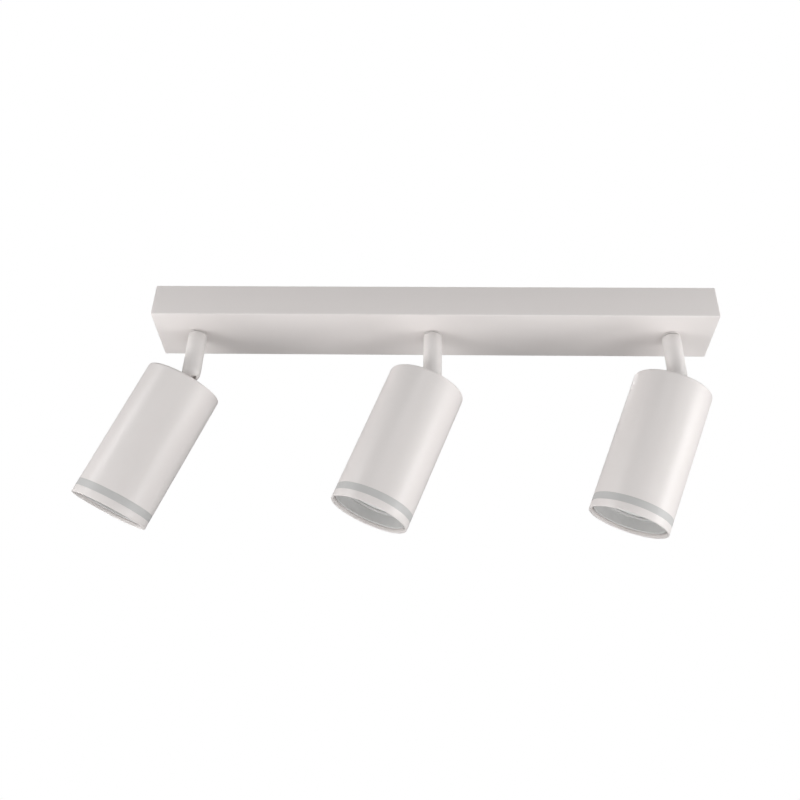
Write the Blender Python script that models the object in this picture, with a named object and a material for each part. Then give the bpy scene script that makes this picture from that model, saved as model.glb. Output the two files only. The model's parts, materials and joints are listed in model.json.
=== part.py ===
"""A white ceiling spotlight bar: three turning, tilting cylinder spots under a folded sheet-steel canopy.

Metres, +Z up. The origin is the middle of the mounting bracket's top face, which lies on the ceiling,
so the whole light hangs below Z = 0. X runs along the bar.

Each spot hangs on a stem. The stem turns under the canopy on a threaded nipple, and its domed lower end
holds a hollow ball whose rod leaves through a slot, so that the spot tilts. The spot itself is a closed
cylinder with a lamp, its lampholder, a frosted acrylic sleeve and a screwed front ring.
"""

from math import cos, pi, radians, sin

import bmesh
import bpy
from mathutils import Matrix, Vector

GAP = 0.0003  # running and touching pieces keep this much air

# canopy and bracket
BAR_LENGTH = 0.440
BAR_WIDTH = 0.052
BAR_HEIGHT = 0.0285
SHEET = 0.0012
FOLD_RADIUS = 0.0012
BRACKET_WIDTH = 0.034
BRACKET_SHEET = 0.0020
TAB_WIDTH = 0.020
TAB_DEPTH = 0.018
END_SCREW_Z = -0.010
END_SCREW_LENGTH = 0.010
END_SCREW_HEAD = 0.0034
END_SCREW_SHANK = 0.0017
CEILING_SLOT_X = 0.140
CEILING_SLOT_LENGTH = 0.012
CEILING_SLOT_WIDTH = 0.005
CABLE_HOLE_X = 0.052
CABLE_HOLE_LENGTH = 0.026
CABLE_HOLE_WIDTH = 0.020
TERMINAL_X = 0.095
WAY_SPACING = 0.0105
TERMINAL_SCREW_X = TERMINAL_X + WAY_SPACING / 2  # between two of its three ways
TERMINAL_HALF_LENGTH = 0.016
TERMINAL_HALF_WIDTH = 0.0085
TERMINAL_HEIGHT = 0.0125
EARTH_X = 0.122
SMALL_SCREW_RADIUS = 0.0015
LEAD_RADIUS = 0.0014
SPOT_LEAD_RADIUS = 0.0012
THROUGH = 0.010  # how far a cutter runs past a thin sheet

# stems and their joints
SPOT_SPACING = 0.1875
STEM_RADIUS = 0.0072
STEM_BORE = 0.0056
COLLAR_HEIGHT = 0.0010
PIVOT_DROP = 0.036  # from the canopy's underside to the centre of the ball
DOME_DROP = 0.0015  # the dome is centred this far below the ball
BALL_RADIUS = 0.0052
ROD_RADIUS = 0.0025
ROD_BORE = 0.0016
ROD_END = 0.0095  # how far the rod reaches past the spot's closed end
SLOT_HALF_WIDTH = 0.0028
SLOT_BACK = radians(-18)  # the rod's direction at the slot's short end, from straight down
SLOT_FRONT = radians(91)  # its direction at the long end, just past horizontal
NIPPLE_RADIUS = 0.0049
NIPPLE_BORE = 0.0032
STOP_RADIUS = 0.0098  # where a stop washer's tab meets its lug
WASHER_SHEET = 0.0008
TAB_HALF_WIDTH = 0.0011
LUG_HALF_WIDTH = 0.0008

# spots, measured along a spot's own axis from the closed back end
SPOT_RADIUS = 0.030
SPOT_LENGTH = 0.112
BACK_CLEARANCE = 0.0112  # from the ball's centre to the closed back end
WALL = 0.0016
BACK_EDGE_RADIUS = 0.0018
RING_HEIGHT = 0.0056
BAND_HEIGHT = 0.0055
SLEEVE_BORE = 0.0262
SLEEVE_NECK = 0.0280
SLEEVE_REAR_NECK = 0.0090
THREAD_SHOWING = 0.0027  # how far the ring stands past the sleeve
LAMP_RADIUS = 0.025
LAMP_FACE = 0.0985
LAMP_SEAT = 0.0528
HOLDER_RADIUS = 0.0140
HOLDER_BACK = 0.0350
PIN_SPACING = 0.010
PIN_FOOT_RADIUS = 0.0024
ENTRY_OFFSET = 0.0105  # of the leads' entries in the lampholder, from its axis
STRIP_SHEET = 0.0012
STRIP_HALF_WIDTH = 0.0065

ROUND = 32  # sides of the spots
LAMP_SIDES = 24
MEDIUM = 20  # sides of stems
SMALL = 16  # sides of pieces on their axes
FINE = 8  # sides of pins and screw holes

# each spot as it hangs: name, place along the bar, turn about the stem, tilt from straight down
SPOTS = (
    ("left", -SPOT_SPACING, radians(-26.5), radians(27.5)),
    ("middle", 0.0, radians(-24.5), radians(24.0)),
    ("right", SPOT_SPACING, radians(-36.0), radians(26.0)),
)

# heights under the ceiling, and places along a spot, that follow from the sizes above
FLOOR_Z = -BAR_HEIGHT + SHEET  # the canopy's inner floor
PIVOT_Z = -BAR_HEIGHT - PIVOT_DROP
COLLAR_TOP = -BAR_HEIGHT - GAP
STEM_TOP = COLLAR_TOP - COLLAR_HEIGHT - GAP
NIPPLE_LOW = STEM_TOP - 0.0095
NIPPLE_TOP = FLOOR_Z + 0.0072
WASHER_LOW = FLOOR_Z + GAP
WASHER_TOP = WASHER_LOW + WASHER_SHEET
CUP_TOP = PIVOT_Z + BALL_RADIUS + 0.0030
TERMINAL_TOP = -BRACKET_SHEET - GAP
WIRE_Z = TERMINAL_TOP - 0.0070
BAND_END = SPOT_LENGTH - RING_HEIGHT
HOUSING_END = BAND_END - BAND_HEIGHT


def clear_scene():
    for old in list(bpy.data.objects):
        bpy.data.objects.remove(old, do_unlink=True)


def finish_of(name, colour, roughness, metallic=0.0):
    """A plain material for one kind of finish."""
    made = bpy.data.materials.new(name)
    made.use_nodes = True
    shader = made.node_tree.nodes["Principled BSDF"]
    shader.inputs["Base Color"].default_value = (*colour, 1.0)
    shader.inputs["Roughness"].default_value = roughness
    shader.inputs["Metallic"].default_value = metallic
    return made


# ---------------------------------------------------------------- building blocks


def object_from(shape, name, material=None, parent=None):
    """Turns a bmesh into an object, smooth over its round stretches."""
    bmesh.ops.recalc_face_normals(shape, faces=shape.faces)
    mesh = bpy.data.meshes.new(name)
    shape.to_mesh(mesh)
    shape.free()
    mesh.shade_smooth()
    mesh.set_sharp_from_angle(angle=radians(32))
    made = bpy.data.objects.new(name, mesh)
    bpy.context.scene.collection.objects.link(made)
    if material:
        made.data.materials.append(material)
    made.parent = parent
    return made


def turned(outline, sides):
    """A closed outline of (radius, height) points turned about Z. Radius 0 is a pole or a flat's middle."""
    shape = bmesh.new()
    rings = []
    for radius, height in outline:
        if radius == 0:
            rings.append(None)
            continue
        angles = [2 * pi * i / sides for i in range(sides)]
        rings.append([shape.verts.new((radius * cos(a), radius * sin(a), height)) for a in angles])
    joints = list(zip(outline, rings))
    for (point, ring), (after, following) in zip(joints, joints[1:] + joints[:1]):
        if ring and following:
            for i in range(sides):
                j = (i + 1) % sides
                shape.faces.new((ring[i], ring[j], following[j], following[i]))
        elif ring or following:
            rim = ring or following
            if point[1] == after[1]:
                shape.faces.new(rim)
                continue
            pole = shape.verts.new((0, 0, after[1] if ring else point[1]))
            for i in range(sides):
                shape.faces.new((rim[i], rim[(i + 1) % sides], pole))
    return shape


def arc(centre_r, centre_z, radius, start, end, steps):
    """Points of (radius, height) along an arc, its angles in degrees from outwards to upwards."""
    angles = [radians(start + (end - start) * i / steps) for i in range(steps + 1)]
    return [(round(centre_r + radius * cos(a), 9), centre_z + radius * sin(a)) for a in angles]


def rod(radius, low, high, sides=SMALL):
    return turned([(0, low), (radius, low), (radius, high), (0, high)], sides)


def tube(outer, inner, low, high, sides=SMALL):
    return turned([(inner, low), (outer, low), (outer, high), (inner, high)], sides)


def block(low, high):
    """A box from its lowest to its highest corner."""
    shape = bmesh.new()
    bmesh.ops.create_cube(shape, size=1.0)
    size = Vector(high) - Vector(low)
    middle = (Vector(high) + Vector(low)) / 2
    bmesh.ops.scale(shape, vec=size, verts=shape.verts)
    bmesh.ops.translate(shape, vec=middle, verts=shape.verts)
    return shape


def extruded(outline, low, high):
    """An (x, z) outline pulled along Y."""
    shape = bmesh.new()
    face = shape.faces.new([shape.verts.new((x, low, z)) for x, z in outline])
    pulled = bmesh.ops.extrude_face_region(shape, geom=[face])
    far_verts = [part for part in pulled["geom"] if isinstance(part, bmesh.types.BMVert)]
    bmesh.ops.translate(shape, vec=(0, high - low, 0), verts=far_verts)
    return shape


def moved(shape, x=0.0, y=0.0, z=0.0, turn=None):
    """The same shape, turned about an axis if asked, then shifted."""
    if turn:
        angle, axis = turn
        rotation = Matrix.Rotation(angle, 3, axis)
        bmesh.ops.rotate(shape, cent=(0, 0, 0), matrix=rotation, verts=shape.verts)
    bmesh.ops.translate(shape, vec=(x, y, z), verts=shape.verts)
    return shape


def combine(target, shape, operation="DIFFERENCE"):
    """Cuts a shape from an object, or adds it, with an exact Boolean."""
    helper = object_from(shape, f"{target.name}_helper", parent=target.parent)
    helper.hide_render = True
    helper.display_type = "WIRE"
    modifier = target.modifiers.new(helper.name, "BOOLEAN")
    modifier.operation = operation
    modifier.solver = "EXACT"
    modifier.object = helper


def hexagon_nut(across_flats, bore, low, high):
    """A hexagonal nut about Z with its hole."""
    corner = across_flats / 2 / cos(pi / 6)
    shape = bmesh.new()
    rings = []
    for height in (low, high):
        outer = []
        inner = []
        for i in range(SMALL):
            angle = 2 * pi * i / SMALL
            off_flat = (angle + pi / 6) % (pi / 3) - pi / 6
            reach = min(corner, across_flats / 2 / cos(off_flat))
            outer.append(shape.verts.new((reach * cos(angle), reach * sin(angle), height)))
            inner.append(shape.verts.new((bore * cos(angle), bore * sin(angle), height)))
        rings.append((outer, inner))
    (low_out, low_in), (high_out, high_in) = rings
    for i in range(SMALL):
        j = (i + 1) % SMALL
        for a, b in ((low_out, high_out), (high_out, high_in), (high_in, low_in), (low_in, low_out)):
            shape.faces.new((a[i], a[j], b[j], b[i]))
    return shape


def smooth_route(points, steps):
    """Points on a smooth curve through the given ones."""
    ends = [2 * points[0] - points[1], *points, 2 * points[-1] - points[-2]]
    found = [points[0]]
    for before, start, end, after in zip(ends, ends[1:], ends[2:], ends[3:]):
        for i in range(1, steps + 1):
            t = i / steps
            push = 2 * start + (end - before) * t
            pull = (2 * before - 5 * start + 4 * end - after) * t * t
            turn = (3 * start - before - 3 * end + after) * t * t * t
            found.append((push + pull + turn) / 2)
    return found


def lead(name, points, radius, material, parent=None, steps=5):
    """A round lead on a smooth curve through its points."""
    curve = bpy.data.curves.new(name, "CURVE")
    curve.dimensions = "3D"
    curve.bevel_depth = radius
    curve.bevel_resolution = 2
    curve.use_fill_caps = True
    route = smooth_route([Vector(p) for p in points], steps)
    spline = curve.splines.new("POLY")
    spline.points.add(len(route) - 1)
    for point, place in zip(spline.points, route):
        point.co = (*place, 1.0)
    made = bpy.data.objects.new(name, curve)
    bpy.context.scene.collection.objects.link(made)
    made.data.materials.append(material)
    made.parent = parent


# ---------------------------------------------------------------- canopy and bracket


def end_screw_cone(side, grow):
    """The countersunk shape at one end of the bar, a little larger when it is the hole."""
    head = END_SCREW_HEAD + grow
    shank = END_SCREW_SHANK + grow
    neck = END_SCREW_SHANK - END_SCREW_HEAD
    outline = [(0, -END_SCREW_LENGTH), (shank, -END_SCREW_LENGTH), (shank, neck), (head, 0)]
    outline += [(head, grow), (0, grow)] if grow else [(0, 0)]
    return moved(turned(outline, SMALL), x=side * BAR_LENGTH / 2, z=END_SCREW_Z, turn=(side * pi / 2, "Y"))


def make_canopy(material):
    half = Vector((BAR_LENGTH / 2, BAR_WIDTH / 2, 0))
    shape = block((-half.x, -half.y, -BAR_HEIGHT), (half.x, half.y, 0))
    folds = [e for e in shape.edges if min(v.co.z for v in e.verts) < -GAP]
    bmesh.ops.bevel(
        shape, geom=folds, offset=FOLD_RADIUS, segments=2, profile=0.5, affect="EDGES", clamp_overlap=True
    )
    canopy = object_from(shape, "canopy", material)
    inner = half - Vector((SHEET, SHEET, 0))
    combine(canopy, block((-inner.x, -inner.y, FLOOR_Z), (inner.x, inner.y, THROUGH)))
    for _, x, turn, _ in SPOTS:
        hole = rod(NIPPLE_RADIUS + GAP, -BAR_HEIGHT - SHEET, FLOOR_Z + SHEET)
        combine(canopy, moved(hole, x=x))
        # a lug stands in the way of the stop washer's tab, on the far side from it at rest
        low = (STOP_RADIUS - 0.0012, -LUG_HALF_WIDTH, FLOOR_Z - SHEET / 2)
        lug = block(low, (STOP_RADIUS + 0.0012, LUG_HALF_WIDTH, FLOOR_Z + 0.002))
        combine(canopy, moved(lug, x=x, turn=(turn, "Z")), "UNION")
    for side in (-1, 1):
        combine(canopy, end_screw_cone(side, GAP))
    return canopy


def make_bracket(material):
    """A flat strip with two tabs turned down, which the canopy's end screws hold."""
    end = BAR_LENGTH / 2 - SHEET - GAP
    half = BRACKET_WIDTH / 2
    plate = block((-end, -half, -BRACKET_SHEET), (end, half, 0))
    bracket = object_from(plate, "ceiling_bracket", material)
    for side in (-1, 1):
        xs = sorted((side * end, side * (end - BRACKET_SHEET)))
        tab = block((xs[0], -TAB_WIDTH / 2, -TAB_DEPTH), (xs[1], TAB_WIDTH / 2, -BRACKET_SHEET / 2))
        combine(bracket, tab, "UNION")
        half_slot = Vector((CEILING_SLOT_LENGTH / 2, CEILING_SLOT_WIDTH / 2, THROUGH))
        combine(bracket, moved(block(-half_slot, half_slot), x=side * CEILING_SLOT_X))
        screw_hole = rod(END_SCREW_SHANK + GAP, -THROUGH, THROUGH)
        combine(bracket, moved(screw_hole, x=side * end, z=END_SCREW_Z, turn=(pi / 2, "Y")))
    half_hole = Vector((CABLE_HOLE_LENGTH / 2, CABLE_HOLE_WIDTH / 2, THROUGH))
    combine(bracket, moved(block(-half_hole, half_hole), x=CABLE_HOLE_X))
    for x in (TERMINAL_SCREW_X, EARTH_X):
        combine(bracket, moved(rod(SMALL_SCREW_RADIUS + GAP, -THROUGH, THROUGH, FINE), x=x))
    return bracket


def make_end_screws(material):
    slot_length = 0.0050
    slot_width = 0.0008
    for side, name in ((-1, "end_screw_left"), (1, "end_screw_right")):
        screw = object_from(end_screw_cone(side, 0.0), name, material)
        low = (-slot_length / 2, -slot_width / 2, -slot_width)
        recess = block(low, (slot_length / 2, slot_width / 2, slot_width))
        turn = (side * pi / 2, "Y")
        combine(screw, moved(recess, x=side * BAR_LENGTH / 2, z=END_SCREW_Z, turn=turn))


def make_terminal_block(plastic, steel):
    """A three-way screw terminal under the bracket, with the screw that holds it."""
    low = (TERMINAL_X - TERMINAL_HALF_LENGTH, -TERMINAL_HALF_WIDTH, TERMINAL_TOP - TERMINAL_HEIGHT)
    high = (TERMINAL_X + TERMINAL_HALF_LENGTH, TERMINAL_HALF_WIDTH, TERMINAL_TOP)
    body = object_from(block(low, high), "terminal_block", plastic)
    for way in (-1, 0, 1):
        x = TERMINAL_X + way * WAY_SPACING
        tunnel = rod(0.0021, -THROUGH, THROUGH, FINE)
        combine(body, moved(tunnel, x=x, z=WIRE_Z, turn=(pi / 2, "X")))
        for y in (-0.0045, 0.0045):
            chimney = rod(0.0017, low[2] - 0.0007, low[2] + 0.0038, FINE)
            combine(body, moved(chimney, x=x, y=y))
    combine(body, moved(rod(SMALL_SCREW_RADIUS + GAP, -0.02, THROUGH, FINE), x=TERMINAL_SCREW_X))
    make_small_screw("terminal_screw", TERMINAL_SCREW_X, low[2] - GAP, steel)


def make_small_screw(name, x, head_z, material):
    """A pan-head screw with its head down and its end just under the ceiling."""
    shank = SMALL_SCREW_RADIUS
    head = 0.0028
    head_height = 0.0018
    slot_half_width = 0.0004
    outline = [(0, head_z - head_height), (head - 0.0004, head_z - 0.0015), (head, head_z - 0.0008)]
    outline += [(head, head_z), (shank, head_z), (shank, -GAP), (0, -GAP)]
    screw = object_from(moved(turned(outline, FINE), x=x), name, material)
    low = (x - head, -slot_half_width, head_z - 2 * head_height)
    combine(screw, block(low, (x + head, slot_half_width, head_z - 0.0012)))


def make_base_leads(material):
    """A two-core lead from the terminal block to each stem, high in the canopy."""
    for way, (name, x, _, _) in zip((-1, 0, 1), SPOTS):
        start = TERMINAL_X + way * WAY_SPACING
        side = -1 if x < start else 1  # which way along the bar
        face = -1 if way == -1 else 1  # which long side of the block
        points = [
            (start, face * 0.0090, WIRE_Z),
            (start, face * 0.0125, WIRE_Z),
            (start + side * 0.006, face * 0.0155, WIRE_Z),
            ((start + x) / 2, face * 0.0165, WIRE_Z),
            (x - side * 0.026, face * 0.0140, WIRE_Z),
            (x - side * 0.008, face * 0.0050, WIRE_Z - 0.001),
            (x, 0.0, WIRE_Z - 0.0055),
            (x, 0.0, WIRE_Z - 0.0120),
        ]
        lead(f"base_lead_{name}", points, LEAD_RADIUS, material, steps=3)


# ---------------------------------------------------------------- stems


def stem_empties(name, x, turn, tilt):
    """Empties on the stem's axis and on the tilt axis, which carry a spot's pieces."""
    stem = bpy.data.objects.new(f"{name}_stem_axis", None)
    stem.location = (x, 0, 0)
    stem.rotation_euler = (0, 0, turn)
    pivot = bpy.data.objects.new(f"{name}_tilt_axis", None)
    pivot.parent = stem
    pivot.location = (0, 0, PIVOT_Z)
    pivot.rotation_euler = (0, tilt, 0)
    for empty in (stem, pivot):
        bpy.context.scene.collection.objects.link(empty)
    return stem, pivot


def slot_sector():
    """The space the rod swings through, its two ends parallel to the rod, seen along the tilt axis."""
    reach = STEM_RADIUS * 1.7
    steps = 12

    def point(angle, out, aside):
        """A point this far along the rod's direction at an angle, and this far to its rising side."""
        return (
            -out * sin(angle) - aside * cos(angle),
            PIVOT_Z - out * cos(angle) + aside * sin(angle),
        )

    outline = [point(SLOT_BACK, 0, -SLOT_HALF_WIDTH), point(SLOT_BACK, reach, -SLOT_HALF_WIDTH)]
    for i in range(steps + 1):
        outline.append(point(SLOT_BACK + (SLOT_FRONT - SLOT_BACK) * i / steps, reach, 0))
    outline += [point(SLOT_FRONT, reach, SLOT_HALF_WIDTH), point(SLOT_FRONT, 0, SLOT_HALF_WIDTH)]
    return extruded(outline, -SLOT_HALF_WIDTH, SLOT_HALF_WIDTH)


def make_stem(name, parent, material):
    """The stem: a tube closed by a dome, seated for the ball inside and slotted for its rod."""
    seat = STEM_BORE - 0.0001
    seat_edge = PIVOT_Z + (STEM_BORE**2 - seat**2) ** 0.5
    dome_z = PIVOT_Z - DOME_DROP
    outline = [(STEM_BORE, STEM_TOP), (STEM_BORE, seat_edge)]
    outline += arc(0, PIVOT_Z, seat, 0, -90, 5)[1:]
    outline += arc(0, dome_z, STEM_RADIUS, -90, 0, 6)
    outline += [(STEM_RADIUS, STEM_TOP - 0.0003), (STEM_RADIUS - 0.0003, STEM_TOP)]
    stem = object_from(turned(outline, MEDIUM), f"stem_{name}", material, parent)
    combine(stem, slot_sector())


def make_collar(name, parent, material):
    collar = tube(STEM_RADIUS, NIPPLE_RADIUS + GAP, COLLAR_TOP - COLLAR_HEIGHT, COLLAR_TOP, MEDIUM)
    object_from(collar, f"collar_{name}", material, parent)


def make_nipple(name, parent, material):
    """The hollow threaded neck, wide inside the stem and narrow through the canopy."""
    wide = STEM_BORE - GAP
    step = STEM_TOP - 0.0010
    outline = [(NIPPLE_BORE, NIPPLE_LOW), (wide, NIPPLE_LOW), (wide, step), (NIPPLE_RADIUS, step + 0.0004)]
    outline += [(NIPPLE_RADIUS, NIPPLE_TOP), (NIPPLE_BORE, NIPPLE_TOP)]
    object_from(turned(outline, SMALL), f"nipple_{name}", material, parent)


def make_stop_washer(name, parent, material):
    """A washer keyed to the nipple, whose tab meets the canopy's lug short of a full turn."""
    ring = tube(0.0080, NIPPLE_RADIUS + GAP, WASHER_LOW, WASHER_TOP)
    washer = object_from(ring, f"stop_washer_{name}", material, parent)
    reach = STOP_RADIUS + 0.0014
    tab = block((-reach, -TAB_HALF_WIDTH, WASHER_LOW), (-0.0070, TAB_HALF_WIDTH, WASHER_TOP))
    combine(washer, tab, "UNION")


def make_lock_nut(name, parent, material):
    low = WASHER_TOP + GAP
    nut = hexagon_nut(0.014, NIPPLE_RADIUS + GAP, low, low + 0.0035)
    object_from(nut, f"lock_nut_{name}", material, parent)


def make_spring(name, parent, material):
    """The coil spring that presses the cup on the ball."""
    wire = 0.00045
    mean = 0.0042
    low = CUP_TOP + GAP + wire
    high = NIPPLE_LOW - GAP - wire
    turns = 4
    sides = 4
    steps = turns * 9
    shape = bmesh.new()
    rings = []
    for i in range(steps + 1):
        angle = 2 * pi * turns * i / steps
        out = Vector((cos(angle), sin(angle), 0))
        centre = out * mean + Vector((0, 0, low + (high - low) * i / steps))
        ring = []
        for k in range(sides):
            around = 2 * pi * k / sides
            offset = out * cos(around) + Vector((0, 0, sin(around)))
            ring.append(shape.verts.new(centre + offset * wire))
        rings.append(ring)
    for ring, following in zip(rings, rings[1:]):
        for k in range(sides):
            j = (k + 1) % sides
            shape.faces.new((ring[k], ring[j], following[j], following[k]))
    shape.faces.new(rings[0])
    shape.faces.new(rings[-1])
    object_from(shape, f"spring_{name}", material, parent)


def make_cup(name, parent, material):
    """The friction cup on top of the ball."""
    touch = BALL_RADIUS + GAP
    outer = STEM_BORE - GAP
    inner = 0.0034
    low = PIVOT_Z + ROD_RADIUS + 2 * GAP  # clear of the rod when it is level
    seat_top = PIVOT_Z + (touch**2 - inner**2) ** 0.5
    middle = (inner + outer) / 2
    seat_middle = PIVOT_Z + (touch**2 - middle**2) ** 0.5 + 0.0001
    outline = [(outer, low), (outer, CUP_TOP), (inner, CUP_TOP), (inner, seat_top), (middle, seat_middle)]
    object_from(turned(outline, SMALL), f"friction_cup_{name}", material, parent)


# ---------------------------------------------------------------- spots, pointing down from the tilt axis


def along(distance):
    """The height, under the tilt axis, of a point this far from the spot's closed end."""
    return -BACK_CLEARANCE - distance


def profile(points):
    """Points of (radius, distance from the closed end) as (radius, height)."""
    return [(radius, along(distance)) for radius, distance in points]


def make_ball_rod(name, parent, material):
    """The hollow ball and its rod, which ends in a thread through the spot's closed end."""
    foot = along(-GAP)
    ball_start = (BALL_RADIUS**2 - ROD_RADIUS**2) ** 0.5
    flat = 0.0024  # radius of the flat on top of the ball
    top = (BALL_RADIUS**2 - flat**2) ** 0.5
    flange = 0.0036
    outline = [(ROD_BORE, along(ROD_END)), (ROD_RADIUS, along(ROD_END)), (ROD_RADIUS, foot)]
    outline += [(flange, foot), (flange, foot + 0.0010)]
    outline += [(ROD_RADIUS, foot + 0.0014), (ROD_RADIUS, -ball_start)]
    outline += arc(0, 0, BALL_RADIUS, -61.3, 62.5, 6)[1:-1]
    outline += [(flat, top), (ROD_BORE, 0.0030)]
    object_from(turned(outline, SMALL), f"ball_rod_{name}", material, parent)


def make_rod_nut(name, parent, material):
    nut = hexagon_nut(0.0085, ROD_RADIUS + GAP, along(0.0066), along(0.0034))
    object_from(nut, f"rod_nut_{name}", material, parent)


def make_housing(name, parent, material):
    """The spot's body: a cylinder closed at the back, with a hole for the rod."""
    edge = BACK_EDGE_RADIUS
    hole = ROD_RADIUS + GAP
    back = arc(SPOT_RADIUS - edge, along(edge), edge, 90, 0, 3)
    outline = [(hole, along(WALL)), (hole, along(0)), *back]
    inner = SPOT_RADIUS - WALL
    outline += profile([(SPOT_RADIUS, HOUSING_END), (inner, HOUSING_END), (inner, WALL)])
    object_from(turned(outline, ROUND), f"housing_{name}", material, parent)


def make_sleeve(name, parent, material):
    """The frosted acrylic spool: its band shows between the housing and the ring."""
    band_start = HOUSING_END + GAP
    points = [
        (SLEEVE_BORE, HOUSING_END - SLEEVE_REAR_NECK),
        (SLEEVE_NECK, HOUSING_END - SLEEVE_REAR_NECK),
        (SLEEVE_NECK, band_start),
        (SPOT_RADIUS, band_start),
        (SPOT_RADIUS, BAND_END),
        (SLEEVE_NECK, BAND_END),
        (SLEEVE_NECK, SPOT_LENGTH - THREAD_SHOWING),
        (SLEEVE_BORE, SPOT_LENGTH - THREAD_SHOWING),
    ]
    object_from(turned(profile(points)[::-1], ROUND), f"acrylic_sleeve_{name}", material, parent)


def make_ring(name, parent, material):
    """The front ring that screws over the sleeve's front neck."""
    edge = 0.0004
    inner = SPOT_RADIUS - WALL
    points = [
        (inner, BAND_END + GAP),
        (SPOT_RADIUS, BAND_END + GAP),
        (SPOT_RADIUS, SPOT_LENGTH - edge),
        (SPOT_RADIUS - edge, SPOT_LENGTH),
        (inner + edge, SPOT_LENGTH),
        (inner, SPOT_LENGTH - edge),
    ]
    object_from(turned(profile(points)[::-1], ROUND), f"front_ring_{name}", material, parent)


def make_lamp(name, parent, material):
    """A 50 mm reflector lamp with its two bayonet pins."""
    points = [
        (0, LAMP_FACE),
        (0.0225, LAMP_FACE),
        (0.0232, LAMP_FACE + 0.0006),
        (LAMP_RADIUS, LAMP_FACE + 0.0006),
        (LAMP_RADIUS, LAMP_FACE - 0.0060),
        (0.0225, LAMP_FACE - 0.0150),
        (0.0185, LAMP_FACE - 0.0260),
        (0.0145, LAMP_FACE - 0.0330),
        (0.0145, LAMP_SEAT),
        (0, LAMP_SEAT),
    ]
    lamp = object_from(turned(profile(points), LAMP_SIDES), f"lamp_{name}", material, parent)
    pin = [(0, 0.001), (0.0015, 0.001), (0.0015, -0.0040), (PIN_FOOT_RADIUS, -0.0044)]
    pin += [(PIN_FOOT_RADIUS, -0.0070), (0, -0.0070)]
    for side in (-1, 1):
        pin_shape = turned([(r, along(LAMP_SEAT + z)) for r, z in pin], FINE)
        combine(lamp, moved(pin_shape, x=side * PIN_SPACING / 2), "UNION")


def make_lampholder(name, parent, material):
    """The ceramic lampholder, with a socket for each pin and an entry for the lead."""
    face = LAMP_SEAT - GAP
    body = rod(HOLDER_RADIUS, along(face), along(HOLDER_BACK))
    holder = object_from(body, f"lampholder_{name}", material, parent)
    for side in (-1, 1):
        socket = rod(PIN_FOOT_RADIUS + 2 * GAP, along(face + 0.001), along(face - 0.0090), FINE)
        combine(holder, moved(socket, x=side * PIN_SPACING / 2))
        entry = rod(0.0016, along(HOLDER_BACK + 0.0050), along(HOLDER_BACK - 0.001), FINE)
        combine(holder, moved(entry, y=side * ENTRY_OFFSET))


def make_holder_bracket(name, parent, material):
    """A folded strip from the closed end, under the rod's nut, to the back of the lampholder."""
    left = -0.0070
    right = 0.0125
    foot = WALL + GAP
    seat = HOLDER_BACK - GAP
    points = [
        (left, foot),
        (right, foot),
        (right, seat),
        (left, seat),
        (left, seat - STRIP_SHEET),
        (right - STRIP_SHEET, seat - STRIP_SHEET),
        (right - STRIP_SHEET, foot + STRIP_SHEET),
        (left, foot + STRIP_SHEET),
    ]
    strip = extruded(profile(points), -STRIP_HALF_WIDTH, STRIP_HALF_WIDTH)
    bracket = object_from(strip, f"holder_bracket_{name}", material, parent)
    hole = rod(ROD_RADIUS + GAP, along(foot + 2 * STRIP_SHEET), along(foot - STRIP_SHEET))
    combine(bracket, hole)


def make_spot_lead(name, parent, material):
    """The lead from the hollow rod, past the strip, into the back of the lampholder."""
    points = [
        (0, 0, along(ROD_END + GAP)),
        (0, 0, along(0.0130)),
        (-0.0020, 0.0040, along(0.0190)),
        (-0.0010, 0.0095, along(0.0260)),
        (0, ENTRY_OFFSET, along(0.0320)),
        (0, ENTRY_OFFSET, along(HOLDER_BACK + 0.0035)),
    ]
    lead(f"spot_lead_{name}", points, SPOT_LEAD_RADIUS, material, parent, steps=3)


# ---------------------------------------------------------------- the whole light


def make_light():
    clear_scene()
    white = finish_of("white_powder_coat", (0.80, 0.78, 0.77), 0.45)
    frosted = finish_of("frosted_acrylic", (0.66, 0.66, 0.65), 0.50)
    zinc = finish_of("zinc_plated_steel", (0.62, 0.63, 0.65), 0.35, 1.0)
    brass = finish_of("brass", (0.72, 0.55, 0.28), 0.35, 1.0)
    spring_steel = finish_of("spring_steel", (0.45, 0.46, 0.48), 0.30, 1.0)
    ceramic = finish_of("lampholder_ceramic", (0.86, 0.84, 0.78), 0.55)
    lamp_white = finish_of("lamp_body", (0.84, 0.84, 0.83), 0.40)
    plastic = finish_of("terminal_plastic", (0.85, 0.84, 0.80), 0.50)
    insulation = finish_of("lead_insulation", (0.80, 0.79, 0.77), 0.45)
    nylon = finish_of("friction_nylon", (0.88, 0.87, 0.82), 0.40)

    make_canopy(white)
    make_bracket(zinc)
    make_end_screws(zinc)
    make_terminal_block(plastic, zinc)
    make_small_screw("earth_screw", EARTH_X, -BRACKET_SHEET - GAP, brass)
    make_base_leads(insulation)
    for name, x, turn, tilt in SPOTS:
        stem, pivot = stem_empties(name, x, turn, tilt)
        make_collar(name, stem, white)
        make_stem(name, stem, white)
        make_nipple(name, stem, zinc)
        make_stop_washer(name, stem, zinc)
        make_lock_nut(name, stem, zinc)
        make_spring(name, stem, spring_steel)
        make_cup(name, stem, nylon)
        make_ball_rod(name, pivot, zinc)
        make_rod_nut(name, pivot, zinc)
        make_housing(name, pivot, white)
        make_sleeve(name, pivot, frosted)
        make_ring(name, pivot, white)
        make_lamp(name, pivot, lamp_white)
        make_lampholder(name, pivot, ceramic)
        make_holder_bracket(name, pivot, zinc)
        make_spot_lead(name, pivot, insulation)


make_light()
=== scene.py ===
"""A white ceiling spotlight bar: a folded steel canopy and three turning, tilting spots.

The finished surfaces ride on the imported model's bodies. Metres, +Z up, and the ceiling is at Z = 0.
"""

import json
from math import atan2, cos, pi, radians, sin, tan

import bmesh
import bpy
from mathutils import Matrix, Vector


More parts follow.
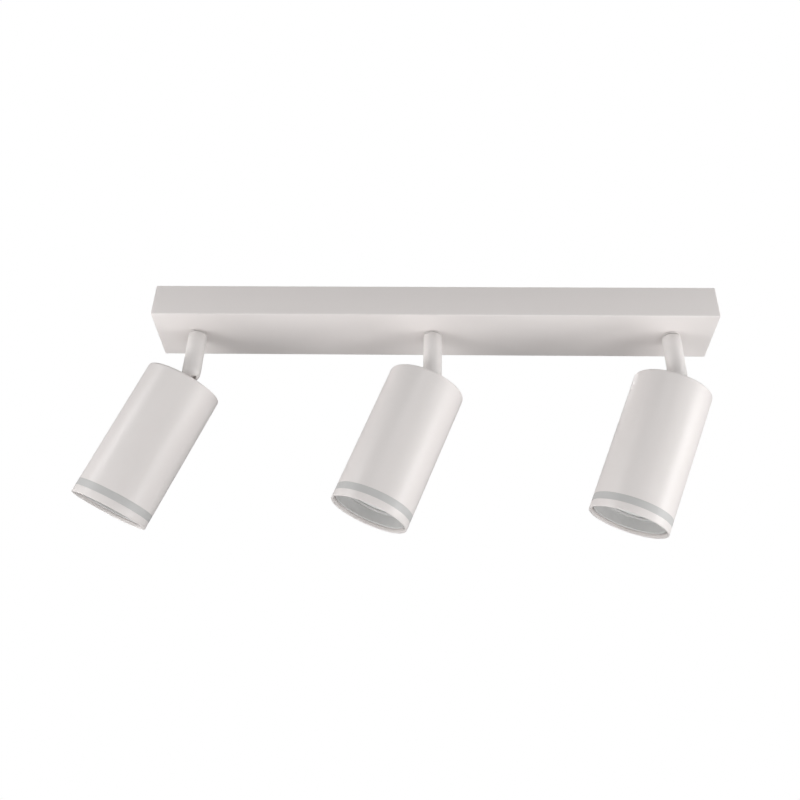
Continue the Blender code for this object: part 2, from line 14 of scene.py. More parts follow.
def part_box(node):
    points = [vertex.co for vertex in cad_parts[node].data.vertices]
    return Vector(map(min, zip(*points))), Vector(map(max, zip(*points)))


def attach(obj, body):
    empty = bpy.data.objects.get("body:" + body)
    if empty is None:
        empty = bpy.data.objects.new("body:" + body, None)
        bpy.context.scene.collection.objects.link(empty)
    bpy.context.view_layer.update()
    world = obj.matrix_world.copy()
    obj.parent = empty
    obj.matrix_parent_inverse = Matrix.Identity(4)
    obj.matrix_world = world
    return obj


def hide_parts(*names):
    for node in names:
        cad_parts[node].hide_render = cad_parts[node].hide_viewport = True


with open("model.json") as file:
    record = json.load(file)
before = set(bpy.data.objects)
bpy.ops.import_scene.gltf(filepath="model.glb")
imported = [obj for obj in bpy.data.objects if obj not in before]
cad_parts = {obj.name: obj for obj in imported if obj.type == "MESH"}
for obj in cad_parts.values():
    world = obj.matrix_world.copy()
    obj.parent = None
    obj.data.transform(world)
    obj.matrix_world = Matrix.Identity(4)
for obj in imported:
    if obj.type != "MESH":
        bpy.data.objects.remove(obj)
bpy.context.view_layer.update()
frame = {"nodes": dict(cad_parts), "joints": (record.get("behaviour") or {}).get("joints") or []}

MM = 0.001


def levels(node):
    """The lowest and highest Z of a CAD node."""
    low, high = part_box(node)
    return low.z, high.z


# the canopy and what is in it
BAR_LOW, BAR_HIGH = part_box("canopy")
UNDERSIDE = BAR_LOW.z
SHEET = 1.2 * MM
FLOOR = UNDERSIDE + SHEET  # the canopy's inner floor
FOLD = 1.1 * MM
INNER_FOLD = 0.5 * MM
PLATE_LOW, PLATE_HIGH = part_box("ceiling_bracket")
PLATE_SHEET = 2.0 * MM
TAB_HALF_WIDTH = 10 * MM
CEILING_SLOT_X = 140 * MM
CEILING_SLOT_LENGTH = 12 * MM
CEILING_SLOT_WIDTH = 5 * MM
CABLE_HOLE_X = 52 * MM
CABLE_HOLE_HALF = (13 * MM, 10 * MM)
BASE_SCREW_HOLE = 1.8 * MM
END_SCREW_Z = -10 * MM
TERMINAL_LOW, TERMINAL_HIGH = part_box("terminal_block")
TERMINAL_X = (TERMINAL_LOW.x + TERMINAL_HIGH.x) / 2
WAY_SPACING = 10.5 * MM

# stems, about their own axis
STEM_RADIUS = 7.2 * MM
STEM_BORE = 5.6 * MM
STEM_TOP = levels("stem_middle")[1]
COLLAR_LOW, COLLAR_TOP = levels("collar_middle")
DOME_DROP = 1.5 * MM
SLOT_RADIUS = 2.8 * MM
SLOT_BACK = radians(-18)  # the rod's direction at the slot's short end, from straight down
SLOT_FRONT = radians(91)
NIPPLE_RADIUS = 4.9 * MM
NIPPLE_BORE = 3.2 * MM
NIPPLE_LOW, NIPPLE_TOP = levels("nipple_middle")
NUT_LOW, NUT_TOP = levels("lock_nut_middle")
CUP_LOW, CUP_TOP = levels("friction_cup_middle")
BALL_RADIUS = 5.2 * MM
ROD_RADIUS = 2.5 * MM
ROD_BORE = 1.6 * MM
PAINTED_SHADE_EDGE = -30  # degrees from the ball's equator down to the ring where the rod's coat ends and the ball's painted shade begins

# spots, as distances from the closed end along the spot's own axis
SPOT_RADIUS = 30 * MM
SPOT_LENGTH = 112 * MM
BACK_CLEARANCE = 11.2 * MM
BACK_EDGE = 1.8 * MM
WALL = 1.6 * MM
HOUSING_END = 100.9 * MM
BAND_START = 100.93 * MM
BAND_END = 106.37 * MM
RING_START = 106.4 * MM
SLEEVE_START = 91.9 * MM
SLEEVE_END = 109.3 * MM
SLEEVE_BORE = 26.2 * MM
SLEEVE_NECK = 27.9 * MM
LAMP_FACE = 98.5 * MM
LAMP_SEAT = 52.8 * MM
HOLDER_FACE = 52.5 * MM
HOLDER_BACK = 35.0 * MM
HOLDER_RADIUS = 14 * MM
PIN_SPACING = 10 * MM

CLEARANCE = 0.3 * MM  # round a thread or a rod that passes through
TURNED_SIDES = 128
STEM_SIDES = 96
WORKS_SIDES = 64
SMALL_SIDES = 48
BORE_SIDES = 32
HOLE_SIDES = 24

# the camera, under the bar's front edge
CAMERA_PLACE = Vector((-0.00088, -0.59664, -0.49641))
CAMERA_PITCH = radians(34.22)
CAMERA_YAW = radians(-2.26)
CAMERA_ROLL = radians(1.71)
CAMERA_LENS = 42.87

# the studio: a panel has its name, its azimuth and elevation in degrees, and its power in watts
AIM_POINT = Vector((0, 0, -0.08))
PANEL_SIZE = 0.42
PANEL_DISTANCE = 1.2
AMBIENT = 0.17
BACKDROP = 1.0
FLOOR_Z = -1.3
FLOOR_GLOW = 0.45
PANELS = (
    ("right_high", 55, 18, 2.3),
    ("right_end", 78, 18, 1.3),
    ("right_level", 80, -6, 2.7),
    ("right_low", 78, -26, 1.9),
    ("right_floor", 88, -50, 3.3),
    ("right_under", 40, -50, 2.1),
    ("front", 0, 18, 1.3),
    ("left_high", -62, 18, 2.5),
    ("left_level", -58, -8, 1.4),
    ("left_low", -75, -25, 5.1),
    ("left_floor", -95, -50, 1.7),
    ("left_back", -112, -5, 2.1),
    ("back_high", 180, 58, 3.5),
)


# ---------------- node trees


class Value:
    """A number, vector or colour in a node tree; the operators add Math nodes for numbers."""

    def __init__(self, sheet, socket):
        self.sheet = sheet
        self.socket = socket

    def math(self, operation, *others):
        return self.sheet.node("ShaderNodeMath", {"operation": operation}, [self, *others])

    def __add__(self, other):
        return self.math("ADD", other)

    def __sub__(self, other):
        return self.math("SUBTRACT", other)

    def __mul__(self, other):
        return self.math("MULTIPLY", other)

    def __truediv__(self, other):
        return self.math("DIVIDE", other)

    __radd__ = __add__


class Sheet:
    """A node tree under construction, with one method for every kind of node."""

    def __init__(self, tree):
        self.tree = tree

    def node(self, kind, settings, inputs, output=0):
        made = self.tree.nodes.new(kind)
        for setting, value in settings.items():
            setattr(made, setting, value)
        pairs = inputs.items() if isinstance(inputs, dict) else enumerate(inputs)
        for key, value in pairs:
            self.feed(made.inputs[key], value)
        return Value(self, made.outputs[output])

    def feed(self, socket, value):
        if isinstance(value, Value):
            self.tree.links.new(value.socket, socket)
        else:
            socket.default_value = value


class Finish(Sheet):
    """A material under construction, round its Principled shader."""

    def __init__(self, name, **constants):
        self.material = bpy.data.materials.new(name)
        self.material.use_nodes = True
        super().__init__(self.material.node_tree)
        self.shader = self.tree.nodes["Principled BSDF"]
        for socket, constant in constants.items():
            self.shader.inputs[socket.replace("_", " ")].default_value = constant
        self.place = self.node("ShaderNodeTexCoord", {}, {}, "Object")

    def noise(self, size, detail=2.0, roughness=0.5, place=None):
        """Smooth noise whose features are about this many metres across."""
        inputs = {"Vector": place or self.place, "Scale": 1 / size}
        inputs.update({"Detail": detail, "Roughness": roughness})
        return self.node("ShaderNodeTexNoise", {}, inputs, "Fac")

    def stretched(self, x, y, z):
        """Object coordinates scaled along each axis, for drawn and brushed metal."""
        return self.node("ShaderNodeMapping", {}, {"Vector": self.place, "Scale": (x, y, z)})

    def mix(self, factor, first, second):
        inputs = {0: factor, 6: (*first, 1.0), 7: (*second, 1.0)}
        return self.node("ShaderNodeMix", {"data_type": "RGBA"}, inputs, 2)

    def set(self, **sockets):
        for socket, value in sockets.items():
            self.feed(self.shader.inputs[socket.replace("_", " ")], value)
        return self.material

    def surface(self, tone, roughness, height, depth, strength=0.5):
        """Feeds the shader its colour, its roughness and the relief of its skin."""
        inputs = {"Height": height, "Distance": depth, "Strength": strength}
        relief = self.node("ShaderNodeBump", {}, inputs)
        return self.set(Base_Color=tone, Roughness=roughness, Normal=relief)


class Pattern(Sheet):
    """A Geometry Nodes tree with named inputs, which ends in Realize Instances and Set Material."""

    def __init__(self, name, **defaults):
        super().__init__(bpy.data.node_groups.new(name, "GeometryNodeTree"))
        sockets = self.tree.interface
        for label, default in defaults.items():
            kind = "NodeSocketInt" if isinstance(default, int) else "NodeSocketFloat"
            made = sockets.new_socket(name=label, in_out="INPUT", socket_type=kind)
            made.default_value = default
        sockets.new_socket(name="Finish", in_out="INPUT", socket_type="NodeSocketMaterial")
        sockets.new_socket(name="Shape", in_out="OUTPUT", socket_type="NodeSocketGeometry")
        entry = self.tree.nodes.new("NodeGroupInput")
        self.finish = Value(self, entry.outputs["Finish"])
        self.sizes = [Value(self, entry.outputs[label]) for label in defaults]

    def triple(self, x, y, z):
        return self.node("ShaderNodeCombineXYZ", {}, [x, y, z])

    def close(self, shape):
        whole = self.node("GeometryNodeRealizeInstances", {}, {"Geometry": shape})
        inputs = {"Geometry": whole, "Material": self.finish}
        finished = self.node("GeometryNodeSetMaterial", {}, inputs)
        self.feed(self.tree.nodes.new("NodeGroupOutput").inputs["Shape"], finished)
        return self.tree


# ---------------- finishes


def powder_coat():
    """Warm white polyester powder: a fine satin grain over a slow orange peel."""
    finish = Finish("white_powder_coat", IOR=1.46)
    grain = finish.noise(0.45 * MM, detail=3.0, roughness=0.6)
    peel = finish.noise(2.2 * MM, detail=1.0)
    cloud = finish.noise(38 * MM)
    tone = finish.mix(cloud * 0.55 + grain * 0.45, (0.790, 0.749, 0.732), (0.826, 0.788, 0.772))
    roughness = 0.35 + (grain - 0.5) * 0.22
    return finish.surface(tone, roughness, grain * 0.55 + peel * 0.45, 0.035 * MM, 0.6)


def stem_coat():
    """The same powder on the turned stems, a little thinner and cooler."""
    finish = Finish("stem_powder_coat", IOR=1.46)
    grain = finish.noise(0.38 * MM, detail=3.0, roughness=0.6)
    drawn = finish.noise(1.2 * MM, place=finish.stretched(1.0, 1.0, 0.15))
    tone = finish.mix(grain * 0.5 + drawn * 0.5, (0.772, 0.742, 0.726), (0.808, 0.780, 0.764))
    roughness = 0.36 + (grain - 0.5) * 0.20
    return finish.surface(tone, roughness, grain * 0.7 + drawn * 0.3, 0.025 * MM, 0.6)


def frosted_acrylic():
    """Satin-blasted acrylic, milky and neutral."""
    finish = Finish("frosted_acrylic", IOR=1.49, Subsurface_Weight=0.2, Subsurface_Scale=1.5 * MM)
    finish.shader.inputs["Subsurface Radius"].default_value = (1.0, 1.0, 1.0)
    blast = finish.noise(0.22 * MM, roughness=0.7)
    milk = finish.noise(9 * MM)
    tone = finish.mix(milk * 0.7 + blast * 0.3, (0.550, 0.545, 0.538), (0.590, 0.585, 0.577))
    return finish.surface(tone, 0.46 + (blast - 0.5) * 0.25, blast, 0.02 * MM)


def plated_steel(name, dark, light, roughness, size=3.0):
    """Plated or bare metal: a crystalline mottle and fine drawn lines."""
    finish = Finish(name, Metallic=1.0)
    lines = finish.noise(0.6 * MM, detail=3.0, place=finish.stretched(1.0, 0.25, 1.0))
    mottle = finish.noise(size * MM, detail=4.0, roughness=0.65)
    tone = finish.mix(mottle * 0.6 + lines * 0.4, dark, light)
    roughness = roughness + (mottle - 0.5) * 0.25 + (lines - 0.5) * 0.12
    return finish.surface(tone, roughness, lines, 0.008 * MM)


def moulded(name, dark, light, roughness, grain=0.5, **constants):
    """Moulded or fired parts: a soft skin with a fine grain."""
    finish = Finish(name, **constants)
    skin = finish.noise(grain * MM, detail=3.0, roughness=0.6)
    cloud = finish.noise(12 * MM)
    tone = finish.mix(cloud * 0.6 + skin * 0.4, dark, light)
    return finish.surface(tone, roughness + (skin - 0.5) * 0.18, skin, 0.02 * MM)


COAT = powder_coat()
STEM_COAT = stem_coat()
ACRYLIC = frosted_acrylic()
ZINC = plated_steel("zinc_plated_steel", (0.50, 0.51, 0.53), (0.66, 0.67, 0.69), 0.34)
NICKEL = plated_steel("nickel_plated_brass", (0.60, 0.58, 0.54), (0.74, 0.72, 0.68), 0.26, 1.5)
BRASS = plated_steel("terminal_brass", (0.62, 0.46, 0.21), (0.78, 0.61, 0.32), 0.30, 1.2)
SPRING_STEEL = plated_steel("spring_steel", (0.34, 0.35, 0.37), (0.50, 0.51, 0.53), 0.28, 1.0)
# The ball's near-black tone is painted shade: it stands in for the dark open end of the stem's slot, where
# the ball shows.
BALL_PAINTED_SHADE = plated_steel("blued_steel", (0.10, 0.10, 0.11), (0.16, 0.16, 0.17), 0.42, 1.0)
CERAMIC = moulded("lampholder_ceramic", (0.80, 0.78, 0.71), (0.88, 0.86, 0.80), 0.55, 0.35)
LAMP_BODY = moulded("lamp_body", (0.80, 0.80, 0.79), (0.87, 0.87, 0.86), 0.38, 0.6)
# The lens tone is kept far darker than a frosted lens: painted shade for the dim depth of the spot's mouth.
LENS_PAINTED_SHADE = moulded("lamp_lens", (0.46, 0.46, 0.455), (0.52, 0.52, 0.51), 0.34, 0.25)
NYLON = moulded("friction_nylon", (0.84, 0.83, 0.77), (0.90, 0.89, 0.84), 0.40, 0.5)
TERMINAL = moulded("terminal_plastic", (0.82, 0.81, 0.77), (0.88, 0.87, 0.84), 0.42, 0.4)
SHEATH = moulded("white_sheath", (0.77, 0.77, 0.75), (0.83, 0.83, 0.81), 0.45, 0.4)


# ---------------- shapes


def rounded(corners, steps=5):
    """An outline whose (x, z, radius) corners are rounded; a corner without a radius stays sharp."""
    points = []
    count = len(corners)
    for i, corner in enumerate(corners):
        here = Vector(corner[:2])
        radius = corner[2] if len(corner) > 2 else 0.0
        if radius == 0.0:
            points.append(tuple(here))
            continue
        before = (Vector(corners[i - 1][:2]) - here).normalized()
        after = (Vector(corners[(i + 1) % count][:2]) - here).normalized()
        half = before.angle(after) / 2
        reach = radius / tan(half)
        start = here + before * reach
        end = here + after * reach
        for k in range(steps + 1):
            s = k / steps
            points.append(tuple(start * (1 - s) ** 2 + here * 2 * s * (1 - s) + end * s**2))
    return points


def arc(centre, radius, start, end, steps):
    """(radius, height) points of an arc about a point on the axis, angles in degrees from outwards."""
    angles = [radians(start + (end - start) * i / steps) for i in range(steps + 1)]
    return [(radius * cos(a), centre + radius * sin(a)) for a in angles]


def bridge(shape, loop, following):
    """Quads between two closed loops of corners."""
    for i in range(len(loop)):
        j = (i + 1) % len(loop)
        shape.faces.new((loop[i], loop[j], following[j], following[i]))


def turned(outline, sides=TURNED_SIDES):
    """A closed (radius, height) outline turned about Z; points on the axis become poles or flat ends."""
    shape = bmesh.new()
    rings = []
    for radius, height in outline:
        if radius < 1e-7:
            rings.append(None)
            continue
        angles = [2 * pi * i / sides for i in range(sides)]
        rings.append([shape.verts.new((radius * cos(a), radius * sin(a), height)) for a in angles])
    levels = list(zip(outline, rings))
    for (here, ring), (there, following) in zip(levels, levels[1:] + levels[:1]):
        if ring and following:
            bridge(shape, ring, following)
        elif ring or following:
            rim = ring or following
            if abs(here[1] - there[1]) < 1e-9:
                shape.faces.new(rim)
                continue
            pole = shape.verts.new((0, 0, there[1] if ring else here[1]))
            for i in range(sides):
                shape.faces.new((rim[i], rim[(i + 1) % sides], pole))
    bmesh.ops.recalc_face_normals(shape, faces=shape.faces)
    return shape


def extruded(outline, low, high):
    """A closed (x, z) outline pulled along Y."""
    shape = bmesh.new()
    face = shape.faces.new([shape.verts.new((x, low, z)) for x, z in outline])
    pulled = bmesh.ops.extrude_face_region(shape, geom=[face])
    verts = [part for part in pulled["geom"] if isinstance(part, bmesh.types.BMVert)]
    bmesh.ops.translate(shape, vec=(0, high - low, 0), verts=verts)
    bmesh.ops.recalc_face_normals(shape, faces=shape.faces)
    return shape


def block(low, high, edge=0.0, segments=3):
    """A box from corner to corner, its edges rounded."""
    shape = bmesh.new()
    bmesh.ops.create_cube(shape, size=1.0)
    low = Vector(low)
    high = Vector(high)
    bmesh.ops.scale(shape, vec=high - low, verts=shape.verts)
    bmesh.ops.translate(shape, vec=(high + low) / 2, verts=shape.verts)
    if edge:
        bmesh.ops.bevel(
            shape, geom=shape.edges[:], offset=edge, segments=segments, profile=0.5, affect="EDGES"
        )
    bmesh.ops.recalc_face_normals(shape, faces=shape.faces)
    return shape


def hexagon(across, bore, low, high, chamfer):
    """A nut with chamfered corners and a countersunk bore."""
    sides = 72
    shape = bmesh.new()
    flat = across / 2
    corner = flat / cos(pi / 6)
    rings = []
    for height, most, hole in (
        (low, flat + chamfer * 0.1, bore + chamfer * 0.6),
        (low + chamfer * 0.6, corner, bore),
        (high - chamfer * 0.6, corner, bore),
        (high, flat + chamfer * 0.1, bore + chamfer * 0.6),
    ):
        outer = []
        inner = []
        for i in range(sides):
            angle = 2 * pi * i / sides
            off_flat = (angle + pi / 6) % (pi / 3) - pi / 6
            reach = min(most, flat / cos(off_flat))
            outer.append(shape.verts.new((reach * cos(angle), reach * sin(angle), height)))
            inner.append(shape.verts.new((hole * cos(angle), hole * sin(angle), height)))
        rings.append((outer, inner))
    loops = [outer for outer, inner in rings] + [inner for outer, inner in reversed(rings)]
    for loop, following in zip(loops, loops[1:] + loops[:1]):
        bridge(shape, loop, following)
    bmesh.ops.recalc_face_normals(shape, faces=shape.faces)
    return shape


def in_mm(*points):
    """Points given in millimetres."""
    return [(across * MM, up * MM) for across, up in points]


def moved(shape, place):
    bmesh.ops.transform(shape, matrix=place, verts=shape.verts)
    return shape


def shifted(shape, x=0.0, y=0.0, z=0.0):
    return moved(shape, Matrix.Translation((x, y, z)))


def bmesh_of(mesh):
    shape = bmesh.new()
    shape.from_mesh(mesh)
    return shape


def joined(*shapes):
    """Several closed shapes in one."""
    whole = bmesh.new()
    for shape in shapes:
        mesh = bpy.data.meshes.new("part")
        shape.to_mesh(mesh)
        shape.free()
        whole.from_mesh(mesh)
        bpy.data.meshes.remove(mesh)
    return whole


def link(name, data):
    """A new object in the scene."""
    made = bpy.data.objects.new(name, data)
    bpy.context.scene.collection.objects.link(made)
    return made


def discard(made):
    mesh = made.data
    bpy.data.objects.remove(made)
    bpy.data.meshes.remove(mesh)


def taken(made):
    """The mesh of a helper object, which goes."""
    shape = bmesh_of(made.data)
    discard(made)
    return shape


def raw_object(name, shape):
    mesh = bpy.data.meshes.new(name)
    shape.to_mesh(mesh)
    shape.free()
    return link(name, mesh)


def settle(made):
    """Bakes an object's modifiers into a plain mesh."""
    graph = bpy.context.evaluated_depsgraph_get()
    mesh = bpy.data.meshes.new_from_object(made.evaluated_get(graph))
    made.modifiers.clear()
    spare = made.data
    made.data = mesh
    if spare.users == 0:
        bpy.data.meshes.remove(spare)


def cut(target, *cutters, operation="DIFFERENCE"):
    """Cuts closed shapes out of an object, or adds them, with exact Booleans."""
    helpers = []
    for shape in cutters:
        helper = raw_object("cutter", shape)
        modifier = target.modifiers.new("cut", "BOOLEAN")
        modifier.operation = operation
        modifier.solver = "EXACT"
        modifier.object = helper
        helpers.append(helper)
    settle(target)
    for helper in helpers:
        discard(helper)


def unite(name, shapes):
    """Several overlapping shapes as one closed body, by exact Boolean unions."""
    made = raw_object(name, shapes[0])
    cut(made, *shapes[1:], operation="UNION")
    return taken(made)


# ---------------- patterns grown by Geometry Nodes


def helix_tree():
    """A wire wound about Z: a coil spring, or a thread's ridge when the wire has four sides."""
    sizes = {"Radius": 5 * MM, "Low": 0.0, "High": 5 * MM, "Turns": 4.0, "Wire": 0.3 * MM}
    tree = Pattern("helix", **sizes, Sides=4, Steps=48)
    radius, low, high, turns, wire, sides, steps = tree.sizes
    count = turns * steps + 1
    line = tree.node("GeometryNodeCurvePrimitiveLine", {}, {"End": (0, 0, 1)})
    points = tree.node("GeometryNodeResampleCurve", {}, {"Curve": line, "Count": count})
    along = tree.node("GeometryNodeSplineParameter", {}, {}, "Factor")
    angle = along * turns * (2 * pi)
    place = tree.triple(
        angle.math("COSINE") * radius, angle.math("SINE") * radius, low + along * (high - low)
    )
    wound = tree.node("GeometryNodeSetPosition", {}, {"Geometry": points, "Position": place})
    level = tree.node("GeometryNodeSetCurveNormal", {"mode": "Z_UP"}, {"Curve": wound})
    inputs = {"Resolution": sides, "Radius": wire}
    section = tree.node("GeometryNodeCurvePrimitiveCircle", {"mode": "RADIUS"}, inputs)
    inputs = {"Curve": level, "Profile Curve": section, "Fill Caps": True}
    return tree.close(tree.node("GeometryNodeCurveToMesh", {}, inputs))


def ribs_tree():
    """Upright ribs in a ring about Z."""
    sizes = {"Radius": 10 * MM, "Height": 0.0, "Depth": MM, "Width": MM, "Length": 6 * MM}
    tree = Pattern("ribs", **sizes, Count=24)
    radius, height, depth, width, length, count = tree.sizes
    ring = tree.node("GeometryNodeMeshCircle", {}, {"Vertices": count, "Radius": radius})
    rib = tree.node("GeometryNodeMeshCube", {}, {"Size": tree.triple(depth, width, length)})
    order = tree.node("GeometryNodeInputIndex", {}, {})
    turn = tree.triple(0.0, 0.0, order * (2 * pi) / count)
    inputs = {"Points": ring, "Instance": rib, "Rotation": turn}
    ribs = tree.node("GeometryNodeInstanceOnPoints", {}, inputs)
    inputs = {"Instances": ribs, "Translation": tree.triple(0.0, 0.0, height)}
    return tree.close(tree.node("GeometryNodeTranslateInstances", {}, inputs))


def beads_tree():
    """Low round beads over a disc, in a square pattern, as moulded on a lens."""
    tree = Pattern("beads", Radius=20 * MM, Pitch=2 * MM, Bead=0.9 * MM, Flatness=0.35)
    radius, pitch, bead, flatness = tree.sizes
    across = radius * 2
    count = (across / pitch).math("FLOOR") + 1
    grid_size = {"Size X": across, "Size Y": across, "Vertices X": count, "Vertices Y": count}
    grid = tree.node("GeometryNodeMeshGrid", {}, grid_size)
    place = tree.node("GeometryNodeInputPosition", {}, {})
    reach = tree.node("ShaderNodeVectorMath", {"operation": "LENGTH"}, [place], "Value")
    test = {"data_type": "FLOAT", "operation": "GREATER_THAN"}
    outside = tree.node("FunctionNodeCompare", test, [reach, radius])
    inputs = {"Geometry": grid, "Selection": outside}
    disc = tree.node("GeometryNodeDeleteGeometry", {"domain": "POINT"}, inputs)
    inputs = {"Segments": 10, "Rings": 5, "Radius": bead}
    ball = tree.node("GeometryNodeMeshUVSphere", {}, inputs)
    inputs = {"Points": disc, "Instance": ball, "Scale": tree.triple(1.0, 1.0, flatness)}
    return tree.close(tree.node("GeometryNodeInstanceOnPoints", {}, inputs))


def heads_tree():
    """Slotted screw heads in three pairs, facing down."""
    sizes = {"Radius": 1.5 * MM, "Length": 3 * MM, "Slot": 0.5 * MM}
    tree = Pattern("heads", Across=21 * MM, Apart=9 * MM, **sizes)
    across, apart, radius, length, slot = tree.sizes
    grid_size = {"Size X": across, "Size Y": apart, "Vertices X": 3, "Vertices Y": 2}
    grid = tree.node("GeometryNodeMeshGrid", {}, grid_size)
    barrel = {"Vertices": 24, "Radius": radius, "Depth": length}
    head = tree.node("GeometryNodeMeshCylinder", {}, barrel)
    blade = tree.node("GeometryNodeMeshCube", {}, {"Size": tree.triple(radius * 3, slot, slot * 2)})
    inputs = {"Geometry": blade, "Translation": tree.triple(0.0, 0.0, length * -0.5)}
    placed = tree.node("GeometryNodeTransform", {}, inputs)
    inputs = {"Mesh 1": head, "Mesh 2": placed}
    slotted = tree.node("GeometryNodeMeshBoolean", {"operation": "DIFFERENCE"}, inputs)
    inputs = {"Points": grid, "Instance": slotted}
    return tree.close(tree.node("GeometryNodeInstanceOnPoints", {}, inputs))


HELIX = helix_tree()
RIBS = ribs_tree()
BEADS = beads_tree()
HEADS = heads_tree()


def grown(tree, finish, **sizes):
    """The shape that a tree makes with these sizes."""
    made = link("growing", bpy.data.meshes.new("growing"))
    modifier = made.modifiers.new("grow", "NODES")
    modifier.node_group = tree
    for item in tree.interface.items_tree:
        if item.name == "Finish":
            modifier[item.identifier] = finish
        elif item.name in sizes:
            modifier[item.identifier] = sizes[item.name]
    settle(made)
    shape = taken(made)
    bmesh.ops.recalc_face_normals(shape, faces=shape.faces)
    return shape


def thread(radius, low, high, pitch, finish, depth=0.3 * MM, steps=48):
    """A V-shaped ridge wound on a cylinder, or inside a bore, between two heights."""
    turns = abs(high - low) / pitch
    sizes = {"Radius": radius, "Low": low, "High": high, "Turns": turns, "Wire": depth}
    return grown(HELIX, finish, Sides=4, Steps=steps, **sizes)


# ---------------- finished pieces


def piece(name, shape, finish, body, stands_for=(), cutters=(), extras=(), place=None, sharp=30):
    """A finished piece: shape, cuts, additions and finish, riding on a body in place of CAD nodes."""
    made = raw_object(name, shape)
    if cutters:
        cut(made, *cutters)
    mesh = made.data
    if extras:
        whole = joined(bmesh_of(mesh), *extras)
        whole.to_mesh(mesh)
        whole.free()
    if place:
        mesh.transform(place)
    for face in mesh.polygons:
        face.material_index = 0
    mesh.materials.clear()
    mesh.materials.append(finish)
    mesh.shade_smooth()
    mesh.set_sharp_from_angle(angle=radians(sharp))
    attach(made, body)
    if stands_for:
        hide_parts(*stands_for)


# ---------------- canopy, bracket and terminal


def countersink(side, grow=0.0):
    """The space of an end screw's head and shank, at one end of the canopy."""
    head = 3.4 * MM + grow
    shank = 1.7 * MM + grow
    outline = [(0, -10 * MM), (shank, -10 * MM), (shank, -1.7 * MM), (head, -0.15 * MM)]
    outline += [(head, grow), (0, grow)]
    return moved(turned(outline, SMALL_SIDES), end_place(side))


def end_place(side):
    """From a screw's own frame, head up, to one end of the canopy."""
    outwards = Matrix.Rotation(side * pi / 2, 4, "Y")
    return Matrix.Translation((side * BAR_HIGH.x, 0, END_SCREW_Z)) @ outwards


def make_canopy():
    """The folded sheet: rounded folds outside and in, holes for the stems, and a lug beside each."""
    inner_low = BAR_LOW + Vector((SHEET, SHEET, SHEET))
    inner_high = BAR_HIGH - Vector((SHEET, SHEET, -5 * MM))
    shape = folded_tray(BAR_LOW, BAR_HIGH, FOLD)
    cutters = [folded_tray(inner_low, inner_high, INNER_FOLD)]
    extras = []
    for spot in SPOTS:
        hole = turned_pin(NIPPLE_RADIUS + CLEARANCE, UNDERSIDE - 2 * MM, FLOOR + 2 * MM)
        cutters.append(moved(hole, spot.stem))
        lug_low = (8.6 * MM, -0.8 * MM, FLOOR - 0.6 * MM)
        lug = block(lug_low, (11 * MM, 0.8 * MM, FLOOR + 2 * MM), 0.2 * MM)
        extras.append(moved(lug, spot.stem))
    for side in (-1, 1):
        cutters.append(countersink(side, CLEARANCE))
    piece("canopy_shell", shape, COAT, "ceiling_base", ["canopy"], cutters, extras)


def folded_tray(low, high, radius):
    """A block whose bottom and upright edges are rounded, as folded sheet is."""
    shape = block(low, high)
    edges = [edge for edge in shape.edges if min(vert.co.z for vert in edge.verts) < high.z - MM]
    bmesh.ops.bevel(shape, geom=edges, offset=radius, segments=5, profile=0.5, affect="EDGES")
    bmesh.ops.recalc_face_normals(shape, faces=shape.faces)
    return shape


def turned_pin(radius, low, high, chamfer=0.0, sides=SMALL_SIDES):
    """A round pin about Z, its two ends chamfered."""
    outline = [(0, low), (radius - chamfer, low), (radius, low + chamfer)]
    outline += [(radius, high - chamfer), (radius - chamfer, high), (0, high)]
    if not chamfer:
        outline = [(0, low), (radius, low), (radius, high), (0, high)]
    return turned(outline, sides)


def stadium(length, width, low, high):
    """A slot with round ends, along X."""
    radius = width / 2
    straight = (length - width) / 2
    angles = [-pi / 2 + pi * i / 12 for i in range(13)]
    outline = [(straight + radius * cos(a), radius * sin(a)) for a in angles]
    outline += [(-x, -y) for x, y in outline]
    shape = extruded(outline, low, high)
    return moved(shape, Matrix.Rotation(pi / 2, 4, "X") @ Matrix.Scale(-1, 4, (0, 1, 0)))


def make_bracket():
    """The ceiling strip: its ends bend down into tabs, with relief notches beside each bend."""
    low = PLATE_LOW
    high = PLATE_HIGH
    bend = PLATE_SHEET
    through = 5 * MM
    outline = [(low.x, low.z), (low.x, high.z, bend + MM), (high.x, high.z, bend + MM), (high.x, low.z)]
    outline += [(high.x - bend, low.z), (high.x - bend, high.z - bend, MM)]
    outline += [(low.x + bend, high.z - bend, MM), (low.x + bend, low.z)]
    shape = extruded(rounded(outline), low.y, high.y)
    cutters = []
    for side in (-1, 1):
        end = side * high.x
        for edge in (-1, 1):
            near = (end - side * 3 * MM, edge * TAB_HALF_WIDTH, low.z - MM)
            far = (end + side * MM, edge * (high.y + MM), high.z - 2.2 * bend)
            cutters.append(block(*corners(near, far)))
            near = (end - side * 3.4 * MM, edge * TAB_HALF_WIDTH, high.z - 4 * bend)
            far = (end + side * MM, edge * (TAB_HALF_WIDTH + 1.6 * MM), high.z + MM)
            cutters.append(block(*corners(near, far), 0.4 * MM))
        slot = stadium(CEILING_SLOT_LENGTH, CEILING_SLOT_WIDTH, -through, through)
        cutters.append(shifted(slot, side * CEILING_SLOT_X))
        cutters.append(countersink(side, 0.2 * MM))
    x, y = CABLE_HOLE_HALF
    entry = block((-x, -y, -through), (x, y, through), 2.5 * MM)
    cutters.append(shifted(entry, CABLE_HOLE_X))
    for node in ("terminal_screw", "earth_screw"):
        cutters.append(moved(turned_pin(BASE_SCREW_HOLE, -through, through), upright(node)))
    piece("ceiling_strip", shape, ZINC, "ceiling_base", ["ceiling_bracket"], cutters)


def corners(one, other):
    """The lowest and highest corner of the box between two points."""
    low = tuple(min(a, b) for a, b in zip(one, other))
    return low, tuple(max(a, b) for a, b in zip(one, other))


def upright(node):
    """A place on a CAD screw's axis, at the height of the ceiling."""
    low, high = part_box(node)
    return Matrix.Translation(((low.x + high.x) / 2, (low.y + high.y) / 2, 0))


